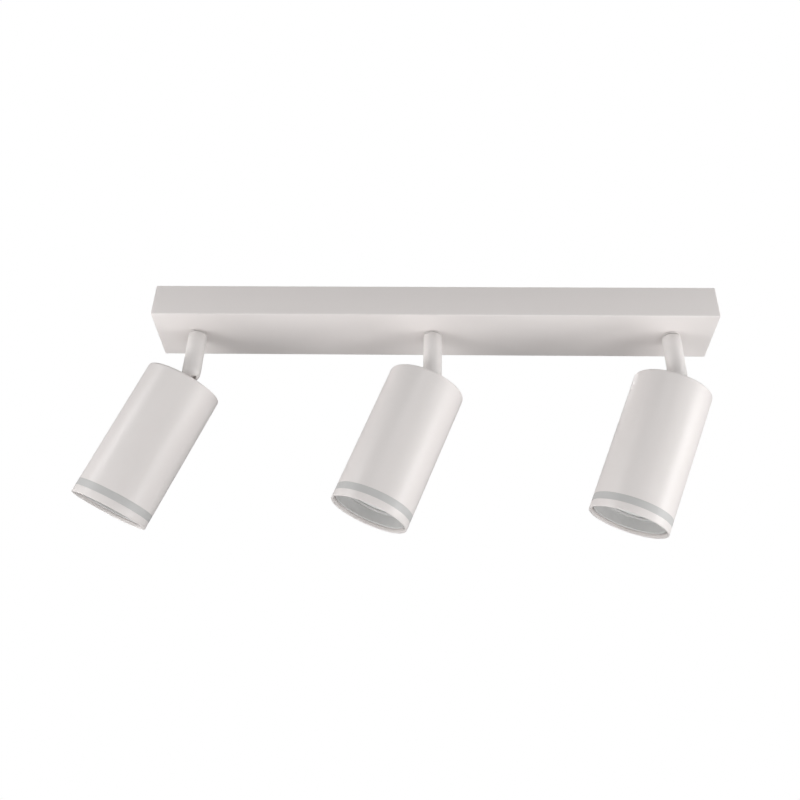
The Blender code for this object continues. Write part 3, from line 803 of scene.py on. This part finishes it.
def make_end_screws():
    """Countersunk screws with a cross recess."""
    shank = in_mm((0, -9.9), (1.2, -9.9), (1.45, -9.6), (1.45, -1.9), (1.7, -1.7))
    outline = shank + in_mm((3.2, -0.25), (3.3, -0.12), (3.2, 0), (0, 0))
    for side, word in ((-1, "left"), (1, "right")):
        cross = []
        for turn in (0, pi / 2):
            arm = block((-1.9 * MM, -0.28 * MM, -1.4 * MM), (1.9 * MM, 0.28 * MM, MM))
            cross.append(moved(arm, Matrix.Rotation(turn, 4, "Z")))
        ridge = thread(1.45 * MM, -9.3 * MM, -2.2 * MM, 0.6 * MM, ZINC, 0.24 * MM, 32)
        shape = turned(outline, SMALL_SIDES)
        nodes = [f"end_screw_{word}"]
        piece(f"{word}_end_screw", shape, ZINC, "ceiling_base", nodes, cross, [ridge], end_place(side))


def make_pan_screw(name, node, finish):
    """A slotted pan-head screw, head down, with its threaded shank up through the strip."""
    low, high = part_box(node)
    radius = (high.x - low.x) / 2
    shank = 1.3 * MM
    underside = low.z + 1.8 * MM
    outline = [(0, low.z), (0.55 * radius, low.z), (0.85 * radius, low.z + 0.35 * MM)]
    outline += [(radius, low.z + 1.1 * MM), (radius, underside), (shank, underside)]
    outline += [(shank, high.z - 0.3 * MM), (MM, high.z), (0, high.z)]
    shape = turned(outline, SMALL_SIDES)
    blade = block((-2 * radius, -0.4 * MM, low.z - MM), (2 * radius, 0.4 * MM, low.z + 0.7 * MM))
    ridge = thread(shank, underside + 0.4 * MM, high.z - 0.5 * MM, 0.5 * MM, finish, 0.2 * MM, 24)
    piece(name, shape, finish, "ceiling_base", [node], [blade], [ridge], upright(node))


def make_terminal():
    """A three-way terminal: barrels joined by a web, chimneys for the screws, and brass inserts."""
    low = TERMINAL_LOW
    high = TERMINAL_HIGH
    wire_z = high.z - 7.0 * MM
    barrel_half = 4.6 * MM
    chimney_bore = 1.75 * MM
    insert_bore = 1.55 * MM
    insert_wall = 1.98 * MM
    insert_half = 6.5 * MM
    web = block((low.x, low.y + 5 * MM, wire_z - 3 * MM), (high.x, high.y - 5 * MM, high.z), 0.5 * MM)
    extras = []
    cutters = []
    inserts = []
    for way in (-1, 0, 1):
        x = TERMINAL_X + way * WAY_SPACING
        barrel_low = (x - barrel_half, low.y, wire_z - 4.2 * MM)
        barrel_high = (x + barrel_half, high.y, high.z - 1.6 * MM)
        extras.append(block(barrel_low, barrel_high, 1.2 * MM, 4))
        for y in (-4.5 * MM, 4.5 * MM):
            outline = [(chimney_bore, low.z), (3.1 * MM, low.z), (3.4 * MM, low.z + 0.4 * MM)]
            outline += [(3.6 * MM, wire_z - 3 * MM), (chimney_bore, wire_z - 3 * MM)]
            extras.append(shifted(turned(outline, 40), x, y))
        tunnel = turned_pin(2.0 * MM, -12 * MM, 12 * MM, sides=BORE_SIDES)
        lying = Matrix.Translation((x, 0, wire_z)) @ Matrix.Rotation(pi / 2, 4, "X")
        cutters.append(moved(tunnel, lying))
        outline = [(insert_bore, -insert_half), (insert_wall, -insert_half)]
        outline += [(insert_wall, insert_half), (insert_bore, insert_half)]
        inserts.append(moved(turned(outline, BORE_SIDES), lying))
    made = unite("terminal_body", [web, *extras])
    middle = upright("terminal_screw").translation.x
    cutters.append(shifted(turned_pin(BASE_SCREW_HOLE, -20 * MM, 5 * MM), middle))
    piece("terminal_body", made, TERMINAL, "ceiling_base", ["terminal_block"], cutters)
    piece("terminal_inserts", joined(*inserts), BRASS, "ceiling_base")
    heads = grown(HEADS, ZINC, Radius=1.6 * MM, Length=4 * MM)
    place = Matrix.Translation((TERMINAL_X, 0, low.z + 3.0 * MM))
    piece("terminal_clamp_screws", heads, ZINC, "ceiling_base", place=place)


def dress(node, finish):
    """Gives a finish to a CAD node that keeps its shape."""
    mesh = frame["nodes"][node].data
    mesh.materials.clear()
    mesh.materials.append(finish)
    mesh.shade_smooth()


# ---------------- stems


def make_stem(spot):
    """The stem: a bored tube whose dome is slotted for the rod, with a fine break on its upper edge."""
    pivot = spot.pivot_z
    seat = STEM_BORE - 0.1 * MM
    dome = pivot - DOME_DROP
    edge = 0.25 * MM
    top = STEM_TOP - 0.2 * MM
    outline = [(STEM_BORE, top), (STEM_BORE, pivot + MM)]
    outline += arc(pivot, seat, 0, -90, 20)
    outline += arc(dome, STEM_RADIUS, -90, 0, 28)
    outline += [(STEM_RADIUS, top - edge), (STEM_RADIUS - edge, top)]
    cutters = [extruded(slot_outline(pivot), -SLOT_RADIUS, SLOT_RADIUS)]
    for angle in (SLOT_BACK, SLOT_FRONT):
        aim = rod_direction(angle).to_track_quat("Z", "Y").to_matrix().to_4x4()
        round_end = turned_pin(SLOT_RADIUS, 0, 13 * MM)
        cutters.append(moved(round_end, Matrix.Translation((0, 0, pivot)) @ aim))
    shape = turned(outline, STEM_SIDES)
    nodes = [f"stem_{spot.name}"]
    piece(f"{spot.name}_stem_tube", shape, STEM_COAT, spot.stem_body, nodes, cutters, place=spot.stem)


def make_collar(spot):
    """The collar: a boss and a wider shoulder above it, which leave a shadow line over the stem."""
    bore = NIPPLE_RADIUS + CLEARANCE
    rim = STEM_RADIUS - 0.2 * MM
    shoulder = COLLAR_LOW + 0.3 * MM
    boss = STEM_RADIUS - 1.2 * MM
    outline = [(bore, COLLAR_LOW), (boss, COLLAR_LOW), (boss, shoulder), (rim, shoulder)]
    outline += [(STEM_RADIUS, shoulder + 0.15 * MM), (STEM_RADIUS, COLLAR_TOP - 0.15 * MM)]
    outline += [(rim, COLLAR_TOP), (bore, COLLAR_TOP)]
    shape = turned(outline, STEM_SIDES)
    nodes = [f"collar_{spot.name}"]
    piece(f"{spot.name}_stem_collar", shape, STEM_COAT, "ceiling_base", nodes, place=spot.stem)


def rod_direction(angle):
    """Where the rod points at an angle from straight down, in the stem's own frame."""
    return Vector((-sin(angle), 0, -cos(angle)))


def slot_outline(pivot):
    """The wedge between the rod's directions at the slot's two ends, as (x, z) points."""
    steps = 24
    reach = 12.5 * MM
    points = [(0.0, pivot)]
    for i in range(steps + 1):
        point = rod_direction(SLOT_BACK + (SLOT_FRONT - SLOT_BACK) * i / steps) * reach
        points.append((point.x, pivot + point.z))
    return points


def make_stem_works(spot):
    """What turns and presses inside: nipple, stop washer, lock nut, spring and friction cup."""
    wide = STEM_BORE - CLEARANCE
    step = STEM_TOP - MM
    core = NIPPLE_RADIUS - 0.35 * MM
    outline = [(NIPPLE_BORE, NIPPLE_LOW), (wide - 0.3 * MM, NIPPLE_LOW), (wide, NIPPLE_LOW + 0.3 * MM)]
    outline += [(wide, step), (core, step + 0.4 * MM), (core, NIPPLE_TOP - 0.4 * MM)]
    outline += [(core - 0.4 * MM, NIPPLE_TOP), (NIPPLE_BORE + 0.3 * MM, NIPPLE_TOP)]
    outline += [(NIPPLE_BORE, NIPPLE_TOP - 0.3 * MM)]
    ridge = thread(core, step + MM, NIPPLE_TOP - 0.6 * MM, MM, NICKEL, 0.35 * MM)
    stem_piece(spot, "nipple", turned(outline, WORKS_SIDES), NICKEL, [ridge])

    low, high = levels(f"stop_washer_{spot.name}")
    bore = NIPPLE_RADIUS + CLEARANCE
    outline = [(bore, low), (8 * MM, low), (8 * MM, high), (bore, high)]
    tab = block((-11.2 * MM, -1.1 * MM, low), (-7.2 * MM, 1.1 * MM, high), 0.25 * MM)
    stem_piece(spot, "stop_washer", turned(outline, WORKS_SIDES), ZINC, [tab])

    nut = hexagon(14 * MM, bore, NUT_LOW, NUT_TOP, 0.5 * MM)
    stem_piece(spot, "lock_nut", nut, ZINC)

    low, high = levels(f"spring_{spot.name}")
    wire = 0.42 * MM
    closed = 2.4 * wire  # how far a closed end coil reaches
    coils = []
    for start, end, turns in (
        (low + closed, high - closed, 3.0),
        (low + wire, low + closed, 1.0),
        (high - closed, high - wire, 1.0),
    ):
        sizes = {"Low": start, "High": end, "Turns": turns, "Radius": 4.2 * MM, "Wire": wire}
        coils.append(grown(HELIX, SPRING_STEEL, Sides=12, Steps=40, **sizes))
    stem_piece(spot, "spring", coils[0], SPRING_STEEL, coils[1:], sharp=60)

    inner = 3.4 * MM
    touch = BALL_RADIUS + 0.3 * MM
    seat_start = 51.8  # degrees up from the ball's equator
    seat_end = 34
    outline = [(wide, CUP_LOW), (wide, CUP_TOP - 0.3 * MM), (wide - 0.3 * MM, CUP_TOP), (inner, CUP_TOP)]
    outline += arc(spot.pivot_z, touch, seat_start, seat_end, 8)
    stem_piece(spot, "friction_cup", turned(outline, WORKS_SIDES), NYLON)


def stem_piece(spot, kind, shape, finish, extras=(), sharp=30):
    nodes = [f"{kind}_{spot.name}"]
    name = f"{spot.name}_{kind}"
    piece(name, shape, finish, spot.stem_body, nodes, (), extras, spot.stem, sharp)


# ---------------- spots, pointing down from the tilt axis


def along(distance):
    """The height, under the tilt axis, of a point this far from the spot's closed end."""
    return -BACK_CLEARANCE - distance


def profile(points):
    """Points of (radius, distance from the closed end) as (radius, height)."""
    return [(radius, along(distance)) for radius, distance in points]


def spot_piece(spot, kind, shape, finish, node="", cutters=(), extras=()):
    nodes = [f"{node}_{spot.name}"] if node else []
    piece(f"{spot.name}_{kind}", shape, finish, spot.spot_body, nodes, cutters, extras, spot.spot)


def make_housing(spot):
    """The drawn cylinder, with a rounded back edge, a slightly eased mouth and a hole for the rod."""
    hole = ROD_RADIUS + CLEARANCE
    inner = SPOT_RADIUS - WALL
    ease = 0.05 * MM
    points = [(hole, WALL), (hole, 0.15 * MM), (hole + 0.15 * MM, 0)]
    for i in range(9):
        angle = pi / 2 * i / 8
        points.append((SPOT_RADIUS - BACK_EDGE * (1 - sin(angle)), BACK_EDGE * (1 - cos(angle))))
    points += [(SPOT_RADIUS, HOUSING_END - ease), (SPOT_RADIUS - ease, HOUSING_END), (inner, HOUSING_END)]
    points += [(inner, 3 * MM), (inner - 0.5 * MM, WALL + 0.4 * MM), (inner - 1.2 * MM, WALL)]
    shape = turned(profile(points), TURNED_SIDES)
    spot_piece(spot, "housing_shell", shape, COAT, "housing")


def make_sleeve(spot):
    """The frosted spool: a band flush with the tube, two threaded necks, and a lip before the lamp."""
    ease = 0.04 * MM
    neck = SLEEVE_NECK - CLEARANCE
    lamp_stop = 24.2 * MM
    pitch = 0.8 * MM
    points = [
        (SLEEVE_BORE, SLEEVE_START),
        (neck, SLEEVE_START),
        (neck, BAND_START),
        (SPOT_RADIUS - ease, BAND_START),
        (SPOT_RADIUS, BAND_START + ease),
        (SPOT_RADIUS, BAND_END - ease),
        (SPOT_RADIUS - ease, BAND_END),
        (neck, BAND_END),
        (neck, SLEEVE_END - 0.3 * MM),
        (neck - 0.3 * MM, SLEEVE_END),
        (SLEEVE_BORE + 0.4 * MM, SLEEVE_END),
        (SLEEVE_BORE, SLEEVE_END - 0.4 * MM),
        (SLEEVE_BORE, LAMP_FACE + 2.6 * MM),
        (lamp_stop + 0.4 * MM, LAMP_FACE + 2.2 * MM),
        (lamp_stop, LAMP_FACE + 1.6 * MM),
        (lamp_stop, LAMP_FACE + 0.9 * MM),
        (SLEEVE_BORE, LAMP_FACE + 0.9 * MM),
    ]
    ridges = []
    for start, end in (
        (BAND_END + 0.5 * MM, SLEEVE_END - 0.4 * MM),
        (SLEEVE_START + 0.5 * MM, BAND_START - 0.5 * MM),
    ):
        ridges.append(thread(neck, along(start), along(end), pitch, ACRYLIC, 0.3 * MM, 96))
    shape = turned(profile(points), TURNED_SIDES)
    spot_piece(spot, "frosted_sleeve", shape, ACRYLIC, "acrylic_sleeve", extras=ridges)


def make_ring(spot):
    """The front ring: an eased lip outside; inside, a thread and the groove that it runs out into."""
    inner = SPOT_RADIUS - WALL + 0.15 * MM
    groove = inner + 0.7 * MM
    lip = 0.25 * MM
    ease = 0.05 * MM
    points = [(inner, RING_START), (SPOT_RADIUS - ease, RING_START), (SPOT_RADIUS, RING_START + ease)]
    for i in range(5):
        angle = pi / 2 * i / 4
        points.append((SPOT_RADIUS - lip * (1 - cos(angle)), SPOT_LENGTH - lip * (1 - sin(angle))))
    points += [(inner + 0.25 * MM, SPOT_LENGTH), (inner, SPOT_LENGTH - 0.25 * MM)]
    points += [(inner, SLEEVE_END + 0.45 * MM), (groove, SLEEVE_END + 0.45 * MM)]
    points += [(groove, SLEEVE_END - 0.2 * MM), (inner, SLEEVE_END - 0.2 * MM)]
    start = along(SLEEVE_END + 0.7 * MM)
    ridge = thread(inner, start, along(SPOT_LENGTH - 0.8 * MM), 0.8 * MM, COAT, 0.1 * MM, 96)
    shape = turned(profile(points), TURNED_SIDES)
    spot_piece(spot, "ring_shell", shape, COAT, "front_ring", extras=[ridge])


def make_lamp(spot):
    """A 50 mm reflector lamp: rimmed lens, waisted body with cooling ribs, and two bayonet pins."""
    face = LAMP_FACE
    front = in_mm((0, -1.2), (22.2, -1.2), (22.5, 0.3), (23, 0.6), (24.6, 0.6), (25, 0.2), (25, -5.6))
    waist = in_mm((24.4, -6.4), (22.5, -14), (20.6, -20), (18.4, -26), (15.6, -31), (14.5, -34))
    points = [(radius, face + ahead) for radius, ahead in front + waist]
    points += [(14.5 * MM, LAMP_SEAT + 0.8 * MM), (13.7 * MM, LAMP_SEAT), (0, LAMP_SEAT)]
    pin = in_mm((0, 0.4), (1.25, 0.4), (1.25, -4), (2.2, -4.4), (2.4, -4.8), (2.4, -6.7), (2.1, -7), (0, -7))
    pins = []
    for side in (-1, 1):
        outline = [(radius, along(LAMP_SEAT + height)) for radius, height in pin]
        pins.append(shifted(turned(outline, BORE_SIDES), side * PIN_SPACING / 2))
    rib = {"Height": along(face - 22 * MM), "Depth": 3.2 * MM, "Width": 1.1 * MM, "Length": 22 * MM}
    ribs = grown(RIBS, LAMP_BODY, Count=30, Radius=20.6 * MM, **rib)
    shape = turned(profile(points), STEM_SIDES)
    spot_piece(spot, "reflector_lamp", shape, LAMP_BODY, "lamp", extras=[ribs])
    spot_piece(spot, "lamp_pins", joined(*pins), NICKEL)
    # The lens and its beads take the darkened lens tone, painted shade for the depth of the mouth.
    beads = grown(BEADS, LENS_PAINTED_SHADE, Radius=20.2 * MM, Pitch=2.1 * MM, Bead=0.95 * MM, Flatness=0.4)
    disc = in_mm((0, 0.7), (21.9, 0.7), (22.1, 0.4), (22.1, -0.6), (0, -0.6))
    lens_z = along(face - 0.9 * MM)
    lens = shifted(turned(disc, STEM_SIDES), z=lens_z)
    beads = shifted(beads, z=lens_z - 0.5 * MM)
    spot_piece(spot, "lamp_lens", lens, LENS_PAINTED_SHADE, extras=[beads])


def make_lampholder(spot):
    """The ceramic lampholder with its two sockets and two lead entries."""
    chamfer = 0.8 * MM
    neck = HOLDER_RADIUS - chamfer
    face = HOLDER_FACE
    back = HOLDER_BACK
    points = [(0, back), (neck, back), (HOLDER_RADIUS, back + chamfer), (HOLDER_RADIUS, face - 4 * MM)]
    points += [(neck, face - 3.4 * MM), (neck, face - 0.5 * MM), (HOLDER_RADIUS - 1.4 * MM, face), (0, face)]
    cutters = []
    for side in (-1, 1):
        socket = turned_pin(2.9 * MM, along(face + MM), along(face - 9 * MM), sides=BORE_SIDES)
        cutters.append(shifted(socket, side * PIN_SPACING / 2))
        entry = turned_pin(1.6 * MM, along(back + 5 * MM), along(back - MM), sides=HOLE_SIDES)
        cutters.append(shifted(entry, y=side * 10.5 * MM))
    shape = turned(profile(points), WORKS_SIDES)
    spot_piece(spot, "ceramic_holder", shape, CERAMIC, "lampholder", cutters)


def make_knuckle(spot):
    """The rod, coated up to a ring round its ball, with a foot on the tube's back; and the rest of the ball,
    near-black as painted shade for the slot's dark open end.
    """
    foot = along(-0.3 * MM)
    flange = 3.6 * MM
    core = ROD_RADIUS - 0.25 * MM
    end = along(9.5 * MM)
    outline = [(ROD_BORE, end), (core - 0.3 * MM, end), (core, end + 0.3 * MM), (core, foot)]
    outline += [(3.5 * MM, foot), (flange, foot + 0.15 * MM), (flange, foot + 0.85 * MM)]
    outline += [(3.4 * MM, foot + MM), (ROD_RADIUS + 0.25 * MM, foot + 1.15 * MM)]
    outline += [(ROD_RADIUS, foot + 1.6 * MM)]
    outline += arc(0, BALL_RADIUS, -61.3, PAINTED_SHADE_EDGE, 12)
    painted_shade_edge_z = BALL_RADIUS * sin(radians(PAINTED_SHADE_EDGE))
    outline += [(ROD_BORE, painted_shade_edge_z)]
    ridge = thread(core, end + 0.4 * MM, foot - WALL, 0.7 * MM, NICKEL, 0.25 * MM, 32)
    shape = turned(outline, WORKS_SIDES)
    spot_piece(spot, "coated_rod", shape, STEM_COAT, "ball_rod", extras=[ridge])
    # Past the coat's ring the ball is near-black, painted shade for the slot's dark open end.
    bare = BALL_RADIUS - 0.04 * MM
    outline = [(ROD_BORE, painted_shade_edge_z + 0.02 * MM), *arc(0, bare, PAINTED_SHADE_EDGE + 0.5, 61.5, 20)]
    outline += [(2.0 * MM, 4.6 * MM), (ROD_BORE, 4.0 * MM)]
    spot_piece(spot, "bare_ball", turned(outline, WORKS_SIDES), BALL_PAINTED_SHADE)
    nut = hexagon(8.5 * MM, ROD_RADIUS + 0.1 * MM, along(6.6 * MM), along(3.4 * MM), 0.4 * MM)
    spot_piece(spot, "rod_lock_nut", nut, ZINC, "rod_nut")


def make_holder_bracket(spot):
    """The folded strip that holds the lampholder, its bends rounded and its corners eased."""
    sheet = 1.2 * MM
    leg = 12.5 * MM
    left = -7 * MM
    foot = WALL + 0.3 * MM
    seat = HOLDER_BACK - 0.3 * MM
    half_width = 6.5 * MM
    route = [
        (left, foot),
        (leg, foot, 2.2 * MM),
        (leg, seat, 2.2 * MM),
        (left, seat),
        (left, seat - sheet),
        (leg - sheet, seat - sheet, 1.0 * MM),
        (leg - sheet, foot + sheet, 1.0 * MM),
        (left, foot + sheet),
    ]
    outline = profile(rounded(route))
    rod_hole = ROD_RADIUS + CLEARANCE
    cutters = [turned_pin(rod_hole, along(foot + 2 * sheet), along(foot - sheet), sides=BORE_SIDES)]
    for side in (-1, 1):
        screw_hole = turned_pin(1.4 * MM, along(seat + MM), along(seat - 2.5 * MM), sides=HOLE_SIDES)
        cutters.append(shifted(screw_hole, -MM, side * 4 * MM))
    shape = extruded(outline, -half_width, half_width)
    spot_piece(spot, "holder_strip", shape, ZINC, "holder_bracket", cutters)


def make_spot(spot):
    make_stem(spot)
    make_collar(spot)
    make_stem_works(spot)
    make_knuckle(spot)
    make_housing(spot)
    make_sleeve(spot)
    make_ring(spot)
    make_lamp(spot)
    make_lampholder(spot)
    make_holder_bracket(spot)
    dress(f"base_lead_{spot.name}", SHEATH)
    dress(f"spot_lead_{spot.name}", SHEATH)


# ---------------- camera, light and floor


def make_camera():
    """A low three-quarter camera under the bar's front edge, looking up."""
    flat = cos(CAMERA_PITCH)
    ahead = Vector((sin(CAMERA_YAW) * flat, cos(CAMERA_YAW) * flat, sin(CAMERA_PITCH)))
    level_right = Vector((cos(CAMERA_YAW), -sin(CAMERA_YAW), 0))
    level_up = level_right.cross(ahead)
    right = level_right * cos(CAMERA_ROLL) + level_up * sin(CAMERA_ROLL)
    up = level_up * cos(CAMERA_ROLL) - level_right * sin(CAMERA_ROLL)
    turn = Matrix((right, up, -ahead)).transposed().to_4x4()
    lens = bpy.data.cameras.new("camera")
    lens.lens = CAMERA_LENS
    lens.clip_start = 0.01
    camera = link("camera", lens)
    camera.matrix_world = Matrix.Translation(CAMERA_PLACE) @ turn
    bpy.context.scene.camera = camera


def make_panel(name, azimuth, elevation, power):
    """A soft square panel that faces the bar; azimuth 0 is the bar's front, and 90 its right end."""
    light = bpy.data.lights.new(name, "AREA")
    light.shape = "SQUARE"
    light.size = PANEL_SIZE
    light.energy = power
    panel = link(name, light)
    across = radians(azimuth)
    up = radians(elevation)
    outwards = Vector((sin(across) * cos(up), -cos(across) * cos(up), sin(up)))
    panel.location = AIM_POINT + outwards * PANEL_DISTANCE
    panel.rotation_euler = (-outwards).to_track_quat("-Z", "Y").to_euler()


def make_world():
    """A white backdrop that lights the bar more gently than it shows."""
    world = bpy.data.worlds.new("studio")
    bpy.context.scene.world = world
    world.use_nodes = True
    sheet = Sheet(world.node_tree)
    seen = sheet.node("ShaderNodeLightPath", {}, {}, "Is Camera Ray")
    strength = AMBIENT + seen * (BACKDROP - AMBIENT)
    background = world.node_tree.nodes["Background"]
    background.inputs["Color"].default_value = (1.0, 1.0, 1.0, 1.0)
    sheet.feed(background.inputs["Strength"], strength)


def make_floor():
    """A pale floor, well below the bar, lighter to the eye than the light it gives back."""
    half = 3.0
    slab = block((-half, -half, FLOOR_Z - 0.02), (half, half, FLOOR_Z), 0.005)
    floor = raw_object("studio_floor", slab)
    finish = Finish("floor_paint", Roughness=0.9, Emission_Strength=1.0)
    cloud = finish.noise(0.3)
    seen = finish.node("ShaderNodeLightPath", {}, {}, "Is Camera Ray")
    finish.set(
        Base_Color=finish.mix(cloud, (0.80, 0.80, 0.80), (0.84, 0.84, 0.84)),
        Emission_Color=finish.mix(seen, (0.0,) * 3, (FLOOR_GLOW,) * 3),
    )
    floor.data.materials.append(finish.material)


# ---------------- the whole light


class Spot:
    """One spot's place, read from the joints that carry it."""

    def __init__(self, name):
        joints = {joint["name"]: joint for joint in frame["joints"]}
        tilt_joint = joints[f"{name}_tilt"]
        x, y, self.pivot_z = tilt_joint["pos_m"]
        axis = tilt_joint["axis"]
        level = 90  # the tilt's upper limit points the spot level
        turn = atan2(-axis[0], axis[1])
        tilt = radians(level - tilt_joint["range_deg"][1])
        self.name = name
        self.stem_body = f"{name}_stem"
        self.spot_body = f"{name}_spot"
        self.stem = Matrix.Translation((x, y, 0)) @ Matrix.Rotation(turn, 4, "Z")
        drop = Matrix.Translation((0, 0, self.pivot_z))
        self.spot = self.stem @ drop @ Matrix.Rotation(tilt, 4, "Y")


make_camera()
bpy.context.scene.view_settings.view_transform = "Standard"
make_world()
make_floor()
for panel in PANELS:
    make_panel(*panel)

SPOTS = [Spot(name) for name in ("left", "middle", "right")]
make_canopy()
make_bracket()
make_end_screws()
make_pan_screw("terminal_fixing_screw", "terminal_screw", ZINC)
make_pan_screw("earthing_screw", "earth_screw", BRASS)
make_terminal()
for spot in SPOTS:
    make_spot(spot)
